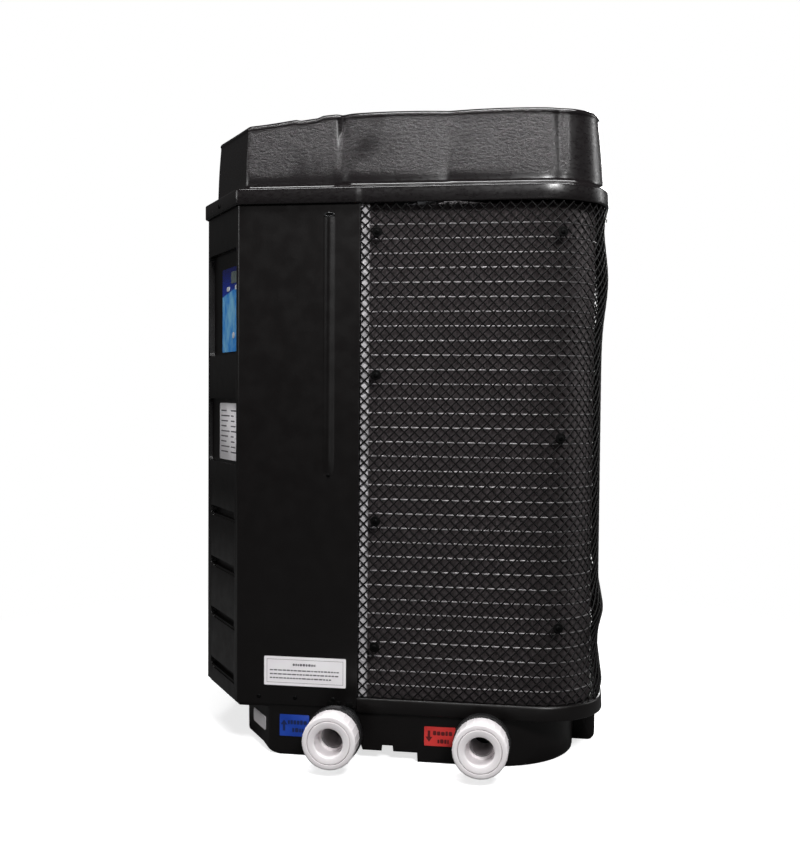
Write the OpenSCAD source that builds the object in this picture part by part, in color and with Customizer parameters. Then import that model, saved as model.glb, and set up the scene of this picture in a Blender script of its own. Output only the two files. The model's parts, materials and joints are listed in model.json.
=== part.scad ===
// Top-discharge pool heat pump with a wrap-around coil, two water unions and a
// refrigerant circuit. Millimetres, +Z up, origin at the centre of the footprint on the
// ground. The front, with the service panel and the unions, faces -Y.

/* [Cabinet] */
// Width of the cabinet, left to right
body_w = 754; // [740:1:780]
// Depth of the cabinet, front to back
body_d = 754; // [740:1:780]
// Height from the ground to the top rim
body_h = 1140; // [1130:1:1160]
// Radius of the three round vertical corners
corner_r = 113; // [105:1:118]
// Width of the slanted control face, measured along X
slant_x = 110; // [108:1:112]
// Depth of the slanted control face, measured along Y
slant_y = 162; // [160:1:164]
// Wall of the moulded panels
wall = 4; // [3.5:0.1:4.5]
// Where the front panel ends and the coil guard begins, along X
seam_x = -47; // [-50:1:-44]

/* [Base] */
// Top of the rim that the panels stand on
base_h = 111; // [110:1:114]
// Height of the rim
rim_h = 26; // [24:1:28]

/* [Top cap] */
// Underside of the cap's skirt band
band_z = 979; // [977:1:981]
// Height of the skirt band
band_h = 28; // [26:1:30]
// How far the cap's wall stands in from the cabinet's outline
cap_inset = 20; // [18:1:24]
// Radius of the air opening in the cap
orifice_r = 262; // [260:1:264]

/* [Fan] */
// Tip radius of the fan
fan_r = 246; // [230:1:250]
// Number of fan blades
fan_blades = 4; // [3:1:5]
// Pitch angle of the blades
fan_pitch = 24; // [18:1:28]

/* [Water unions] */
// Height of the union centres above the ground
union_z = 61; // [60:1:62]
// Inlet centre along X
inlet_x = -76; // [-78:1:-74]
// Outlet centre along X
outlet_x = 178; // [176:1:180]
// Radius of the slip socket for 1 1/2 inch pipe
socket_r = 24.3; // [24.25:0.01:24.5]
// Depth of the slip socket
socket_depth = 38; // [36:1:39]
// Outer radius of the union nut
nut_r = 46; // [45.5:0.5:46.5]
// Front face of the unions
union_face_y = -483; // [-484:1:-482]

/* [Coil] */
// Spacing of the tube rows
tube_pitch = 25.4; // [25:0.1:25.5]
// Number of tube rows
tube_rows = 33; // [30:1:33]

/* [Keypad] */
// How far a key travels
key_travel = 0.8; // [0.5:0.1:1]

/* [Hidden] */

half_w = body_w / 2;
half_d = body_d / 2;
gap = 0.5;
band_top = band_z + band_h;
panel_z = base_h - 19;
panel_top = band_z - gap;
slant_len = norm([slant_x, slant_y]);
slant_angle = -atan2(slant_y, slant_x);
corner_steps = 12;

// Cabinet outline, counter-clockwise, each point as [x, y, corner radius].
cabinet_pts = [
    [-half_w + slant_x, -half_d, 6],
    [half_w, -half_d, corner_r],
    [half_w, half_d, corner_r],
    [-half_w, half_d, corner_r],
    [-half_w, -half_d + slant_y, 6]
];

// Outline of the hollow plinth below the rim.
plinth_front = -half_d + 4;
plinth_right = half_w - 47;
plinth_left = -half_w + 99;
plinth_back = half_d - 30;
plinth_pts = [
    [-208, plinth_front, 10],
    [plinth_right, plinth_front, 150],
    [plinth_right, plinth_back, 90],
    [plinth_left, plinth_back, 60],
    [plinth_left, plinth_front + 103, 10]
];

function unit(v) = v / norm(v);
function inward(v) = unit([-v[1], v[0]]);
function xy(p) = [p[0], p[1]];

// Unit normals of the edges before and after point i, both pointing inward.
function n_in(pts, i) =
    inward(xy(pts[i]) - xy(pts[(i + len(pts) - 1) % len(pts)]));
function n_out(pts, i) =
    inward(xy(pts[(i + 1) % len(pts)]) - xy(pts[i]));
function miter(a, b) = (a + b) / (1 + a * b);

// Points of the outline moved inward by d, with each corner drawn as an arc.
function outline(pts, d) = [
    for (i = [0 : len(pts) - 1])
    let (
        a = n_in(pts, i),
        b = n_out(pts, i),
        r = max(1, pts[i][2] - d),
        centre = xy(pts[i]) + miter(a, b) * (d + r),
        start = atan2(-a[1], -a[0]),
        turn = acos(min(1, a * b)),
        steps = pts[i][2] > 20 ? corner_steps : 3
    )
    for (k = [0 : steps])
    centre + r * [cos(start + turn * k / steps), sin(start + turn * k / steps)]
];

module prism(pts, d, z0, z1) {
    translate([0, 0, z0])
    linear_extrude(z1 - z0)
    polygon(outline(pts, d));
}

// Upright shell between two insets of an outline.
module shell(pts, d0, d1, z0, z1) {
    translate([0, 0, z0])
    linear_extrude(z1 - z0)
    difference() {
        polygon(outline(pts, d0));
        polygon(outline(pts, d1));
    }
}

module box(p0, p1) {
    translate(p0)
    cube(p1 - p0);
}

module rod(p, dir, r, h, fn = 48) {
    translate(p)
    rotate([0, acos(dir[2]), atan2(dir[1], dir[0])])
    cylinder(r = r, h = h, $fn = fn);
}

// Places children in the frame of the slanted face: x runs along the face from its left
// edge, y runs inward from the outer surface, z stays up.
module on_slant() {
    translate([-half_w, -half_d + slant_y, 0])
    rotate([0, 0, slant_angle])
    children();
}

// ---- Enclosure ----

// Where the coil guard takes over from the moulded panels, front and rear.
guard_back_x = -270;

// Two round holes for the unions, from y0 back by h.
module pipe_holes(r, y0, h) {
    for (x = [inlet_x, outlet_x])
    rod([x, y0, union_z], [0, 1, 0], r, h, 64);
}

// Arches cut into the plinth's lower edge, front and back.
module plinth_cuts() {
    box([-60, -half_d - 10, -1], [60, half_d + 10, 16]);
    box([-4, -half_d - 10, 10], [16, half_d + 10, 26]);
    translate([-47, 0, 14])
    rotate([90, 0, 0])
    linear_extrude(2 * half_d + 20, center = true)
    polygon([[-9, -1], [9, -1], [3, 18], [-3, 18]]);
    box([-half_w, -90, -1], [half_w, 90, 30]);
}

// Foot outside the plinth wall, with its outer lower edge rounded.
module lug(y) {
    hull() {
        box([plinth_right - 4, y, 0], [plinth_right + 26, y + 40, base_h - 20]);
        box([plinth_right, y, 15], [plinth_right + 41, y + 40, base_h - 20]);
        rod([plinth_right + 26, y, 15], [0, 1, 0], 15, 40);
    }
}

module base_pan() {
    color([0.13, 0.12, 0.12])
    base_shell();
    color([0.13, 0.12, 0.12])
    cylinder(r = 30, h = base_h - 10, $fn = 48);
}

module base_shell() {
    difference() {
        union() {
            difference() {
                shell(cabinet_pts, -4, 14, base_h - rim_h, base_h);
                difference() {
                    box([-half_w - 20, -half_d - 20, base_h - rim_h - 1],
                        [seam_x + gap, -half_d + slant_y, base_h + 1]);
                    prism(cabinet_pts, wall + gap, base_h - rim_h - 2, base_h + 2);
                }
                difference() {
                    box([-half_w - 20, -half_d + slant_y - 10, base_h - rim_h - 1],
                        [guard_back_x + gap, half_d + 20, base_h + 1]);
                    prism(cabinet_pts, wall + gap, base_h - rim_h - 2, base_h + 2);
                }
            }
            prism(cabinet_pts, 13, base_h - 13, base_h - 6);
            shell(plinth_pts, 0, 8, 0, base_h - 12);
            for (y = [-190, 150])
            lug(y);
        }
        plinth_cuts();
        pipe_holes(stub_r + 0.5, plinth_front - 1, 60);
        pipe_holes(neck_r + 0.6, -half_d - 10, plinth_front + half_d + 10);
        translate([inlet_x, riser_y, base_h - 20])
        cylinder(r = 33, h = 30, $fn = 48);
        translate([outlet_x, riser_y, base_h - 20])
        cylinder(r = 33, h = 30, $fn = 48);
        for (a = [0 : 3])
        foot_place(a)
        translate([0, 0, base_h - 20])
        cylinder(r = 4.5, h = 20, $fn = 32);
    }
}

// Pocket tray behind the panel: walls around a shallow recess.
module tray(u0, u1, z0, z1, depth) {
    box([u0, 0, z0], [u1, depth + wall, z1]);
}

recess_u = [10, 189];
keypad_z = [716, 907];
label_z = [517, 636];
slot_u = [22, 174];
slot_h = 15;
slot_z0 = 130;
slot_step = 98;

module service_panel() {
    color([0.13, 0.12, 0.12])
    difference() {
        union() {
            intersection() {
                shell(cabinet_pts, 0, wall, panel_z, panel_top);
                union() {
                    box([-half_w + slant_x - 5, -half_d - 5, panel_z],
                        [seam_x, -half_d + 10, panel_top]);
                    on_slant()
                    box([1, -5, panel_z], [slant_len + 10, 12, panel_top]);
                }
            }
            on_slant()
            tray(recess_u[0] - wall, recess_u[1] - 3,
                keypad_z[0] - wall, keypad_z[1] + wall, 10);
            on_slant()
            tray(recess_u[0] - wall, recess_u[1] - 3,
                label_z[0] - wall, label_z[1] + wall, 6);
            translate([-107, -half_d - 2.5, 505])
            cube([10, 3, 457]);
        }
        on_slant()
        box([recess_u[0], -1, keypad_z[0]], [recess_u[1] - 3 - wall, 10, keypad_z[1]]);
        on_slant()
        box([recess_u[0], -1, label_z[0]], [recess_u[1] - 3 - wall, 6, label_z[1]]);
        for (i = [0 : 3])
        on_slant()
        box([slot_u[0], -1, slot_z0 + slot_step * i - slot_h / 2],
            [slot_u[1], wall + 1, slot_z0 + slot_step * i + slot_h / 2]);
        for (x = [-228, -159, -90])
        rod([x, -half_d - 1, base_h - 6], [0, 1, 0], 2.6, 10, 24);
        pipe_holes(neck_r + 0.6, -half_d - 10, 20);
    }
}

module side_panel() {
    color([0.13, 0.12, 0.12])
    difference() {
        intersection() {
            shell(cabinet_pts, 0, wall, panel_z, panel_top);
            box([-half_w - 5, -half_d + slant_y + 2, panel_z],
                [guard_back_x, half_d + 5, panel_top]);
        }
        rod([-half_w - 1, gland_y, gland_z], [1, 0, 0], 14, 10);
        for (y = [-170, 60, 230])
        rod([-half_w - 1, y, base_h - 6], [1, 0, 0], 2.6, 10, 24);
    }
}

module corner_posts() {
    color([0.72, 0.73, 0.75]) {
        difference() {
            box([-half_w + 7, -180, base_h + 1], [-half_w + 37, -150, band_z - 3]);
            box([-half_w + 9, -178, base_h], [-half_w + 38, -149, band_z]);
        }
        difference() {
            box([-290, half_d - 60, base_h + 1], [-260, half_d - 30, band_z - 3]);
            box([-288, half_d - 58, base_h], [-259, half_d - 29, band_z]);
        }
    }
}

deck_z = body_h - 20;

module top_cap() {
    color([0.16, 0.15, 0.15])
    difference() {
        union() {
            shell(cabinet_pts, -6, -1, band_z, band_top);
            shell(cabinet_pts, -2, cap_inset + 5, band_top - 5, band_top);
            shell(cabinet_pts, cap_inset, cap_inset + 5, band_top - 5, body_h);
            shell(cabinet_pts, cap_inset + 4, cap_inset + 14, body_h - 6, body_h);
            difference() {
                prism(cabinet_pts, cap_inset + 4, deck_z - 5, deck_z);
                translate([0, 0, deck_z - 10])
                cylinder(r = orifice_r, h = 20, $fn = 96);
            }
            translate([0, 0, band_z + 4])
            difference() {
                cylinder(r = orifice_r + 4, h = deck_z - band_z - 5, $fn = 96);
                translate([0, 0, -1])
                cylinder(r = orifice_r, h = body_h, $fn = 96);
            }
        }
        for (p = cap_screw_places)
        rod([p[0], p[1], band_z + 12], [cos(p[2]), sin(p[2]), 0], 2.6, 12, 24);
    }
}

// ---- Fan ----

guard_rings = 9;
guard_z = deck_z;
wire = 4;

module fan_guard() {
    color([0.10, 0.10, 0.10]) {
        for (i = [1 : guard_rings])
        translate([0, 0, guard_z + 0.5])
        difference() {
            cylinder(r = 60 + i * 25, h = wire, $fn = 64);
            translate([0, 0, -1])
            cylinder(r = 60 + i * 25 - wire, h = wire + 2, $fn = 64);
        }
        difference() {
            union() {
                translate([0, 0, guard_z + 2])
                cylinder(r = 80, h = 5, $fn = 64);
                for (a = [0 : 45 : 315])
                rotate([0, 0, a])
                box([70, -2, guard_z + 2], [284, 2, guard_z + 7]);
            }
            for (a = [45 : 90 : 315])
            rotate([0, 0, a])
            translate([58, 0, guard_z - 1])
            cylinder(r = 3.2, h = 12, $fn = 24);
        }
    }
}

motor_z = [1050, 1112];
hub_z = [996, 1034];
shaft_r = 6.35;

module fan_blades() {
    color([0.20, 0.20, 0.21])
    difference() {
        union() {
            translate([0, 0, hub_z[0]])
            cylinder(r = 48, h = hub_z[1] - hub_z[0], $fn = 64);
            intersection() {
                for (i = [0 : fan_blades - 1])
                rotate([0, 0, i * 360 / fan_blades])
                translate([fan_r / 2 + 20, 0, (hub_z[0] + hub_z[1]) / 2])
                rotate([fan_pitch, 0, 0])
                cube([fan_r, 130, 3], center = true);
                translate([0, 0, 900])
                difference() {
                    cylinder(r = fan_r, h = 220, $fn = 96);
                    translate([0, 0, -1])
                    cylinder(r = 40, h = 222, $fn = 64);
                }
            }
        }
        translate([0, 0, hub_z[0] - 1])
        cylinder(r = shaft_r, h = 60, $fn = 48);
    }
}

module fan_shaft() {
    color([0.75, 0.76, 0.78])
    translate([0, 0, hub_z[0] + 4])
    cylinder(r = shaft_r, h = 90, $fn = 48);
}

module fan_motor() {
    color([0.22, 0.23, 0.24])
    difference() {
        union() {
            translate([0, 0, motor_z[0]])
            cylinder(r = 70, h = motor_z[1] - motor_z[0], $fn = 64);
            translate([0, 0, motor_z[0] - 6])
            cylinder(r = 24, h = 8, $fn = 48);
        }
        translate([0, 0, motor_z[0] - 7])
        cylinder(r = shaft_r + 0.05, h = 58, $fn = 48);
        for (a = [45 : 90 : 315])
        rotate([0, 0, a])
        translate([58, 0, motor_z[1] - 14])
        cylinder(r = 3, h = 20, $fn = 24);
    }
}

module motor_bracket() {
    color([0.72, 0.73, 0.75])
    difference() {
        translate([0, 0, motor_z[1]])
        cylinder(r = 78, h = guard_z + 2 - motor_z[1], $fn = 64);
        translate([0, 0, motor_z[1] - 1])
        cylinder(r = 40, h = 20, $fn = 64);
        for (a = [45 : 90 : 315])
        rotate([0, 0, a])
        translate([58, 0, motor_z[1] - 2])
        cylinder(r = 3.2, h = 20, $fn = 24);
    }
}

module motor_bolts() {
    color([0.70, 0.71, 0.72])
    for (a = [45 : 90 : 315])
    rotate([0, 0, a])
    translate([58, 0, 0]) {
        translate([0, 0, motor_z[1] - 13])
        cylinder(r = 2.9, h = guard_z + 8 - motor_z[1] + 13, $fn = 24);
        translate([0, 0, guard_z + 7.1])
        cylinder(r = 5.5, h = 4, $fn = 24);
    }
}

// ---- Air coil ----

coil_out = 18;
coil_in = 56;
coil_z0 = base_h + 8;
coil_z1 = band_z - 8;

module coil_fins() {
    color([0.30, 0.29, 0.29])
    intersection() {
        shell(cabinet_pts, coil_out, coil_in, coil_z0, coil_z1);
        union() {
            box([seam_x + 15, -half_d, coil_z0], [half_w, 0, coil_z1]);
            box([guard_back_x + 15, 0, coil_z0], [half_w, half_d, coil_z1]);
        }
    }
}

module coil_bends() {
    color([0.72, 0.42, 0.25]) {
        for (y = [28, 46]) {
            bend_stack(seam_x + 9, -half_d + y);
            bend_stack(guard_back_x + 9, half_d - y);
        }
    }
}

// Return bends that leave the end plate towards -X, one for each pair of tube rows.
module bend_stack(x, y) {
    for (i = [0 : 2 : tube_rows - 2])
    translate([x, y, coil_z0 + 12 + (i + 0.5) * tube_pitch])
    rotate([90, 90, 0])
    rotate([0, 0, 180])
    rotate_extrude(angle = 180, $fn = 32)
    translate([tube_pitch / 2, 0])
    circle(r = 4.8, $fn = 24);
}

module coil_end_plate_front() {
    color([0.80, 0.80, 0.82]) {
        box([seam_x + 1, -half_d + 5, base_h + 1],
            [seam_x + 15, -half_d + 7, panel_top - 1]);
        box([seam_x + 12, -half_d + 5, base_h + 1],
            [seam_x + 14, -half_d + 66, panel_top - 1]);
    }
}

module coil_end_plate_rear() {
    color([0.80, 0.80, 0.82])
    translate([guard_back_x - seam_x, 0, 0])
    mirror([0, 1, 0]) {
        box([seam_x + 1, -half_d + 5, base_h + 1],
            [seam_x + 15, -half_d + 7, panel_top - 1]);
        box([seam_x + 12, -half_d + 5, base_h + 1],
            [seam_x + 14, -half_d + 66, panel_top - 1]);
    }
}

// Screw places on the coil guard: x, y, height, and the direction inward in degrees.
corner_a = 20;
guard_screw_front_x = -18;
guard_screw_places = concat(
    [for (z = [202, 424, 680, 928])
        [guard_screw_front_x, -half_d, z, 90]],
    [for (z = [247, 574, 925])
        [half_w - corner_r + corner_r * sin(corner_a),
         -half_d + corner_r - corner_r * cos(corner_a), z, 90 + corner_a]],
    [for (z = [247, 574, 925])
        [half_w, 60, z, 180]],
    [for (z = [247, 574, 925], x = [-240, 180])
        [x, half_d, z, 270]]
);

module coil_guard() {
    color([0.12, 0.12, 0.12])
    difference() {
        intersection() {
            shell(cabinet_pts, 0, 3, base_h + gap, panel_top);
            union() {
                box([seam_x + gap, -half_d - 5, base_h], [half_w + 5, 0, panel_top]);
                box([guard_back_x + gap, 0, base_h], [half_w + 5, half_d + 5, panel_top]);
            }
        }
        for (p = guard_screw_places)
        rod([p[0] - 5 * cos(p[3]), p[1] - 5 * sin(p[3]), p[2]],
            [cos(p[3]), sin(p[3]), 0], 2.7, 12, 24);
    }
}

module guard_screws() {
    color([0.08, 0.08, 0.08])
    for (p = guard_screw_places)
    translate([p[0], p[1], p[2]])
    rotate([0, 90, p[3]]) {
        translate([0, 0, -4])
        cylinder(r = 5, h = 2.2, $fn = 24);
        translate([0, 0, -2])
        cylinder(r = 2.4, h = 14, $fn = 24);
    }
}

module guard_washers() {
    color([0.08, 0.08, 0.08])
    for (p = guard_screw_places)
    translate([p[0], p[1], p[2]])
    rotate([0, 90, p[3]])
    translate([0, 0, -1.7])
    difference() {
        cylinder(r = 9, h = 1.2, $fn = 32);
        translate([0, 0, -1])
        cylinder(r = 2.7, h = 4, $fn = 24);
    }
}

// Screw places on the cap's band: x, y and the direction inward in degrees.
cap_screw_places = concat(
    [for (u = [94])
        let (c = cos(slant_angle), s = sin(slant_angle))
        [-half_w + u * c + 8 * s, -half_d + slant_y + u * s - 8 * c, slant_angle + 90]],
    [[half_w + 8, -60, 180], [half_w + 8, 160, 180]],
    [[-half_w - 8, 60, 0], [-100, half_d + 8, 270], [160, half_d + 8, 270]]
);

module cap_screws() {
    color([0.08, 0.08, 0.08])
    for (p = cap_screw_places)
    translate([p[0], p[1], band_z + 12])
    rotate([0, 90, p[2]]) {
        translate([0, 0, -0.5])
        cylinder(r = 4.5, h = 2.4, $fn = 24);
        translate([0, 0, 1])
        cylinder(r = 2.4, h = 5.5, $fn = 24);
    }
}

module panel_screws() {
    color([0.60, 0.60, 0.62]) {
        for (x = [-228, -159, -90])
        translate([x, -half_d, base_h - 6])
        rotate([-90, 0, 0]) {
            translate([0, 0, -2.6])
            cylinder(r = 4.6, h = 2.4, $fn = 24);
            translate([0, 0, -1])
            cylinder(r = 2.4, h = 5.2, $fn = 24);
        }
        for (y = [-170, 60, 230])
        translate([-half_w, y, base_h - 6])
        rotate([0, 90, 0]) {
            translate([0, 0, -2.6])
            cylinder(r = 4.6, h = 2.4, $fn = 24);
            translate([0, 0, -1])
            cylinder(r = 2.4, h = 5.2, $fn = 24);
        }
    }
}

// ---- Control panel ----

key_r = 7;
key_places = [[113, 838], [164, 838]];
power_key_place = [146, 752];
pad_u = [74, 180];
pad_z = [722, 876];

module key_holes(r) {
    for (p = concat(key_places, [power_key_place]))
    translate([p[0], 5, p[1]])
    rotate([-90, 0, 0])
    cylinder(r = r, h = 8, $fn = 32);
}

module keypad() {
    color([0.10, 0.35, 0.75])
    on_slant()
    difference() {
        box([pad_u[0], 7, pad_z[0]], [pad_u[1], 9.8, pad_z[1]]);
        key_holes(key_r + 0.2);
        box([131, 6, 846], [177, 8, 868]);
    }
}

module display_window() {
    color([0.45, 0.50, 0.50])
    on_slant()
    box([131.2, 6.6, 846.2], [176.8, 7.9, 867.8]);
}

module one_key(p) {
    color([0.92, 0.93, 0.94])
    on_slant()
    translate([p[0], 6, p[1]])
    rotate([-90, 0, 0])
    cylinder(r = key_r, h = 3.4 - key_travel, $fn = 32);
}

module up_key() {
    one_key(key_places[0]);
}

module down_key() {
    one_key(key_places[1]);
}

module power_key() {
    one_key(power_key_place);
}

module control_board() {
    color([0.10, 0.38, 0.22])
    on_slant()
    box([40, 17, 720], [170, 18.6, 900]);
}

cbox_u = [20, 180];
cbox_y = [40, 150];
cbox_z = [300, 690];

module control_box() {
    color([0.74, 0.75, 0.77])
    on_slant()
    difference() {
        box([cbox_u[0], cbox_y[0], cbox_z[0]], [cbox_u[1], cbox_y[1], cbox_z[1]]);
        box([cbox_u[0] + 1.5, cbox_y[0] - 1, cbox_z[0] + 1.5],
            [cbox_u[1] - 1.5, cbox_y[1] - 1.5, cbox_z[1] - 1.5]);
    }
}

contactor_p = [60, 500];

module contactor_body() {
    color([0.16, 0.16, 0.17])
    on_slant()
    difference() {
        box([contactor_p[0] - 30, 90, contactor_p[1] - 35],
            [contactor_p[0] + 30, cbox_y[1] - 2, contactor_p[1] + 35]);
        box([contactor_p[0] - 12, 80, contactor_p[1] - 12],
            [contactor_p[0] + 12, 116, contactor_p[1] + 12]);
    }
}

module contactor_armature() {
    color([0.85, 0.85, 0.80])
    on_slant()
    box([contactor_p[0] - 11.9, 86, contactor_p[1] - 11.9],
        [contactor_p[0] + 11.9, 111, contactor_p[1] + 11.9]);
}

module run_capacitor() {
    color([0.80, 0.81, 0.83])
    on_slant()
    translate([132, 118, 450])
    cylinder(r = 25, h = 110, $fn = 48);
}

module terminal_block() {
    color([0.85, 0.83, 0.75])
    on_slant()
    difference() {
        box([35, 118, 340], [150, cbox_y[1] - 2, 372]);
        for (i = [0 : 4])
        box([41 + i * 22, 112, 346], [55 + i * 22, 132, 366]);
    }
}

module transformer() {
    color([0.55, 0.42, 0.25])
    on_slant()
    box([50, 95, 600], [115, cbox_y[1] - 2, 655]);
}

// ---- Refrigerant circuit ----

comp_x = -120;
comp_y = 150;
comp_r = 82;
comp_z0 = base_h + 12;
foot_r = 110;

module foot_place(i) {
    translate([comp_x, comp_y, 0])
    rotate([0, 0, 45 + 90 * i])
    translate([foot_r, 0, 0])
    children();
}

module compressor() {
    color([0.09, 0.09, 0.10])
    difference() {
        union() {
            translate([comp_x, comp_y, comp_z0 + 4])
            cylinder(r = comp_r, h = 334, $fn = 64);
            translate([comp_x, comp_y, comp_z0 + 330])
            cylinder(r = comp_r - 20, h = 30, $fn = 64);
            translate([comp_x, comp_y, comp_z0 + 5])
            rotate([0, 0, 45])
            cube([260, 44, 6], center = true);
            translate([comp_x, comp_y, comp_z0 + 5])
            rotate([0, 0, -45])
            cube([260, 44, 6], center = true);
        }
        for (i = [0 : 3])
        foot_place(i)
        translate([0, 0, comp_z0 - 5])
        cylinder(r = 9, h = 30, $fn = 32);
    }
}

module compressor_grommets() {
    color([0.07, 0.07, 0.07])
    for (i = [0 : 3])
    foot_place(i)
    difference() {
        union() {
            translate([0, 0, base_h - 6])
            cylinder(r = 16, h = comp_z0 + 1.8 - base_h + 6, $fn = 32);
            translate([0, 0, comp_z0])
            cylinder(r = 8.9, h = 12, $fn = 32);
        }
        translate([0, 0, base_h - 10])
        cylinder(r = 4.5, h = 60, $fn = 32);
    }
}

module compressor_bolts() {
    color([0.70, 0.71, 0.72])
    for (i = [0 : 3])
    foot_place(i) {
        translate([0, 0, base_h - 16])
        cylinder(r = 4, h = 36, $fn = 32);
        translate([0, 0, comp_z0 + 12.2])
        cylinder(r = 8, h = 6, $fn = 6);
    }
}

hx_x = (inlet_x + outlet_x) / 2;
hx_y = -170;
hx_r = 92;
hx_z = [base_h + 10, 560];
port_z = hx_z[0] + 70;
riser_y = -170;

module exchanger_shell() {
    color([0.20, 0.21, 0.22])
    translate([hx_x, hx_y, 0])
    difference() {
        translate([0, 0, hx_z[0]])
        cylinder(r = hx_r, h = hx_z[1] - hx_z[0], $fn = 64);
        translate([0, 0, hx_z[0] + 6])
        cylinder(r = hx_r - 6, h = hx_z[1] - hx_z[0] - 12, $fn = 64);
        for (s = [-1, 1])
        translate([0, 0, port_z])
        rotate([0, 90 * s, 0])
        cylinder(r = 24.3, h = hx_r + 10, $fn = 48);
        for (y = [-30, 30])
        translate([0, y, hx_z[1] - 10])
        cylinder(r = 8.2, h = 20, $fn = 32);
    }
}

module exchanger_coil() {
    color([0.62, 0.62, 0.60])
    translate([hx_x, hx_y, 0])
    for (i = [0 : 13])
    translate([0, 0, hx_z[0] + 130 + i * 20])
    rotate_extrude($fn = 48)
    translate([66, 0])
    circle(r = 8, $fn = 24);
}

// Bent tube through a list of points; each inner point gets a rounded knuckle.
module tube_path(pts, r) {
    for (i = [0 : len(pts) - 2])
    let (v = pts[i + 1] - pts[i])
    rod(pts[i], unit(v), r, norm(v), 32);
    for (i = [1 : len(pts) - 2])
    translate(pts[i])
    sphere(r = r * 1.12, $fn = 32);
}

module discharge_line() {
    color([0.72, 0.42, 0.25])
    tube_path([
        [comp_x + 30, comp_y, comp_z0 + 361],
        [comp_x + 30, comp_y, 640],
        [hx_x, comp_y, 640],
        [hx_x, hx_y + 30, 640],
        [hx_x, hx_y + 30, hx_z[1] + 0.5]
    ], 8);
}

module suction_line() {
    color([0.72, 0.42, 0.25])
    tube_path([
        [comp_x - 30, comp_y, comp_z0 + 361],
        [comp_x - 30, comp_y, 720],
        [comp_x - 30, half_d - 90, 720],
        [guard_back_x - 20, half_d - 90, 720]
    ], 11);
}

module liquid_line() {
    color([0.72, 0.42, 0.25])
    tube_path([
        [hx_x, hx_y - 30, hx_z[1] + 0.5],
        [hx_x, hx_y - 30, 600],
        [-10, hx_y - 30, 600],
        [-10, hx_y - 30, 655]
    ], 5);
}

module filter_drier() {
    color([0.08, 0.09, 0.12])
    translate([-10, hx_y - 30, 656])
    cylinder(r = 24, h = 110, $fn = 48);
}

module expansion_valve() {
    color([0.78, 0.62, 0.28]) {
        translate([-10, hx_y - 30, 767])
        cylinder(r = 9, h = 30, $fn = 32);
        translate([-10, hx_y - 30, 790])
        cylinder(r = 16, h = 26, $fn = 6);
        translate([-10, hx_y - 30, 815])
        cylinder(r = 22, h = 8, $fn = 48);
    }
}

// ---- Water side ----

pipe_r = 24;
pipe_y0 = plinth_front + 12;

module water_pipe(x, s) {
    difference() {
        pipe_solid(x, s, pipe_r, 31, 0);
        pipe_solid(x, s, pipe_r - 4, 26, 2);
    }
}

// Pipe from the union body back under the deck, up the riser and into the exchanger.
module pipe_solid(x, s, r, knuckle, over) {
    rod([x, pipe_y0 - over, union_z], [0, 1, 0], r, riser_y - pipe_y0 + over);
    rod([x, riser_y, union_z], [0, 0, 1], r, port_z - union_z);
    rod([x, riser_y, port_z], [s, 0, 0], r, abs(hx_x - x) - hx_r + 3 + over);
    translate([x, riser_y, union_z])
    sphere(r = knuckle, $fn = 48);
    translate([x, riser_y, port_z])
    sphere(r = knuckle, $fn = 48);
}

module water_in_pipe() {
    color([0.82, 0.80, 0.81])
    water_pipe(inlet_x, 1);
}

module water_out_pipe() {
    color([0.82, 0.80, 0.81])
    water_pipe(outlet_x, -1);
}

// Lengths along the union axis, measured back from the front face. A white nut turns on
// the black body's thread and clamps the white tailpiece against a seal.
nut_depth = 40;
nut_lip = 8;
lip_r = 37.2;
hub_r = 36.4;
tail_flange_r = 40.8;
tail_flange = [8.3, 14];
tail_r = 30;
tail_end = 42;
body_face = 14.6;
thread_r = 41.2;
flange_z = [42, 56];
flange_r = 48.5;
neck_r = 34;
bore_r = 20.4;
wall_face = plinth_front - union_face_y;
stub_r = 30.5;

module along_union(x) {
    translate([x, union_face_y, union_z])
    rotate([-90, 0, 0])
    children();
}

module union_body(x) {
    color([0.10, 0.10, 0.11])
    along_union(x)
    difference() {
        union() {
            translate([0, 0, body_face])
            cylinder(r = thread_r, h = flange_z[0] - body_face + 1, $fn = 96);
            translate([0, 0, flange_z[0]])
            cylinder(r = flange_r, h = flange_z[1] - flange_z[0], $fn = 96);
            translate([0, 0, flange_z[1] - 1])
            cylinder(r = neck_r, h = wall_face - flange_z[1] + 0.5, $fn = 64);
            translate([0, 0, flange_z[1] + 5])
            cylinder(r = stub_r, h = wall_face - flange_z[1] + 11, $fn = 64);
        }
        translate([0, 0, body_face - 1])
        cylinder(r = tail_r + 0.6, h = tail_end + 2 - body_face, $fn = 96);
        translate([0, 0, body_face])
        cylinder(r = bore_r, h = 200, $fn = 64);
        translate([0, 0, pipe_y0 - union_face_y - 0.2])
        cylinder(r = pipe_r + 0.1, h = 60, $fn = 64);
        translate([0, 0, body_face - 1])
        ring(33, 37, 4);
    }
}

// Flat ring between two radii.
module ring(r0, r1, h) {
    difference() {
        cylinder(r = r1, h = h, $fn = 96);
        translate([0, 0, -1])
        cylinder(r = r0, h = h + 2, $fn = 96);
    }
}

module inlet_union_body() {
    union_body(inlet_x);
}

module outlet_union_body() {
    union_body(outlet_x);
}

module union_nut(x) {
    color([0.92, 0.90, 0.90])
    along_union(x)
    difference() {
        union() {
            cylinder(r = nut_r, h = nut_depth, $fn = 96);
            for (a = [0 : 15 : 345])
            rotate([0, 0, a])
            translate([nut_r - 1.2, 0, 5])
            cylinder(r = 2, h = nut_depth - 6, $fn = 24);
        }
        translate([0, 0, -1])
        cylinder(r = lip_r, h = nut_depth + 2, $fn = 96);
        translate([0, 0, nut_lip])
        cylinder(r = thread_r + 0.08, h = nut_depth, $fn = 96);
    }
}

module inlet_union_nut() {
    union_nut(inlet_x);
}

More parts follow.
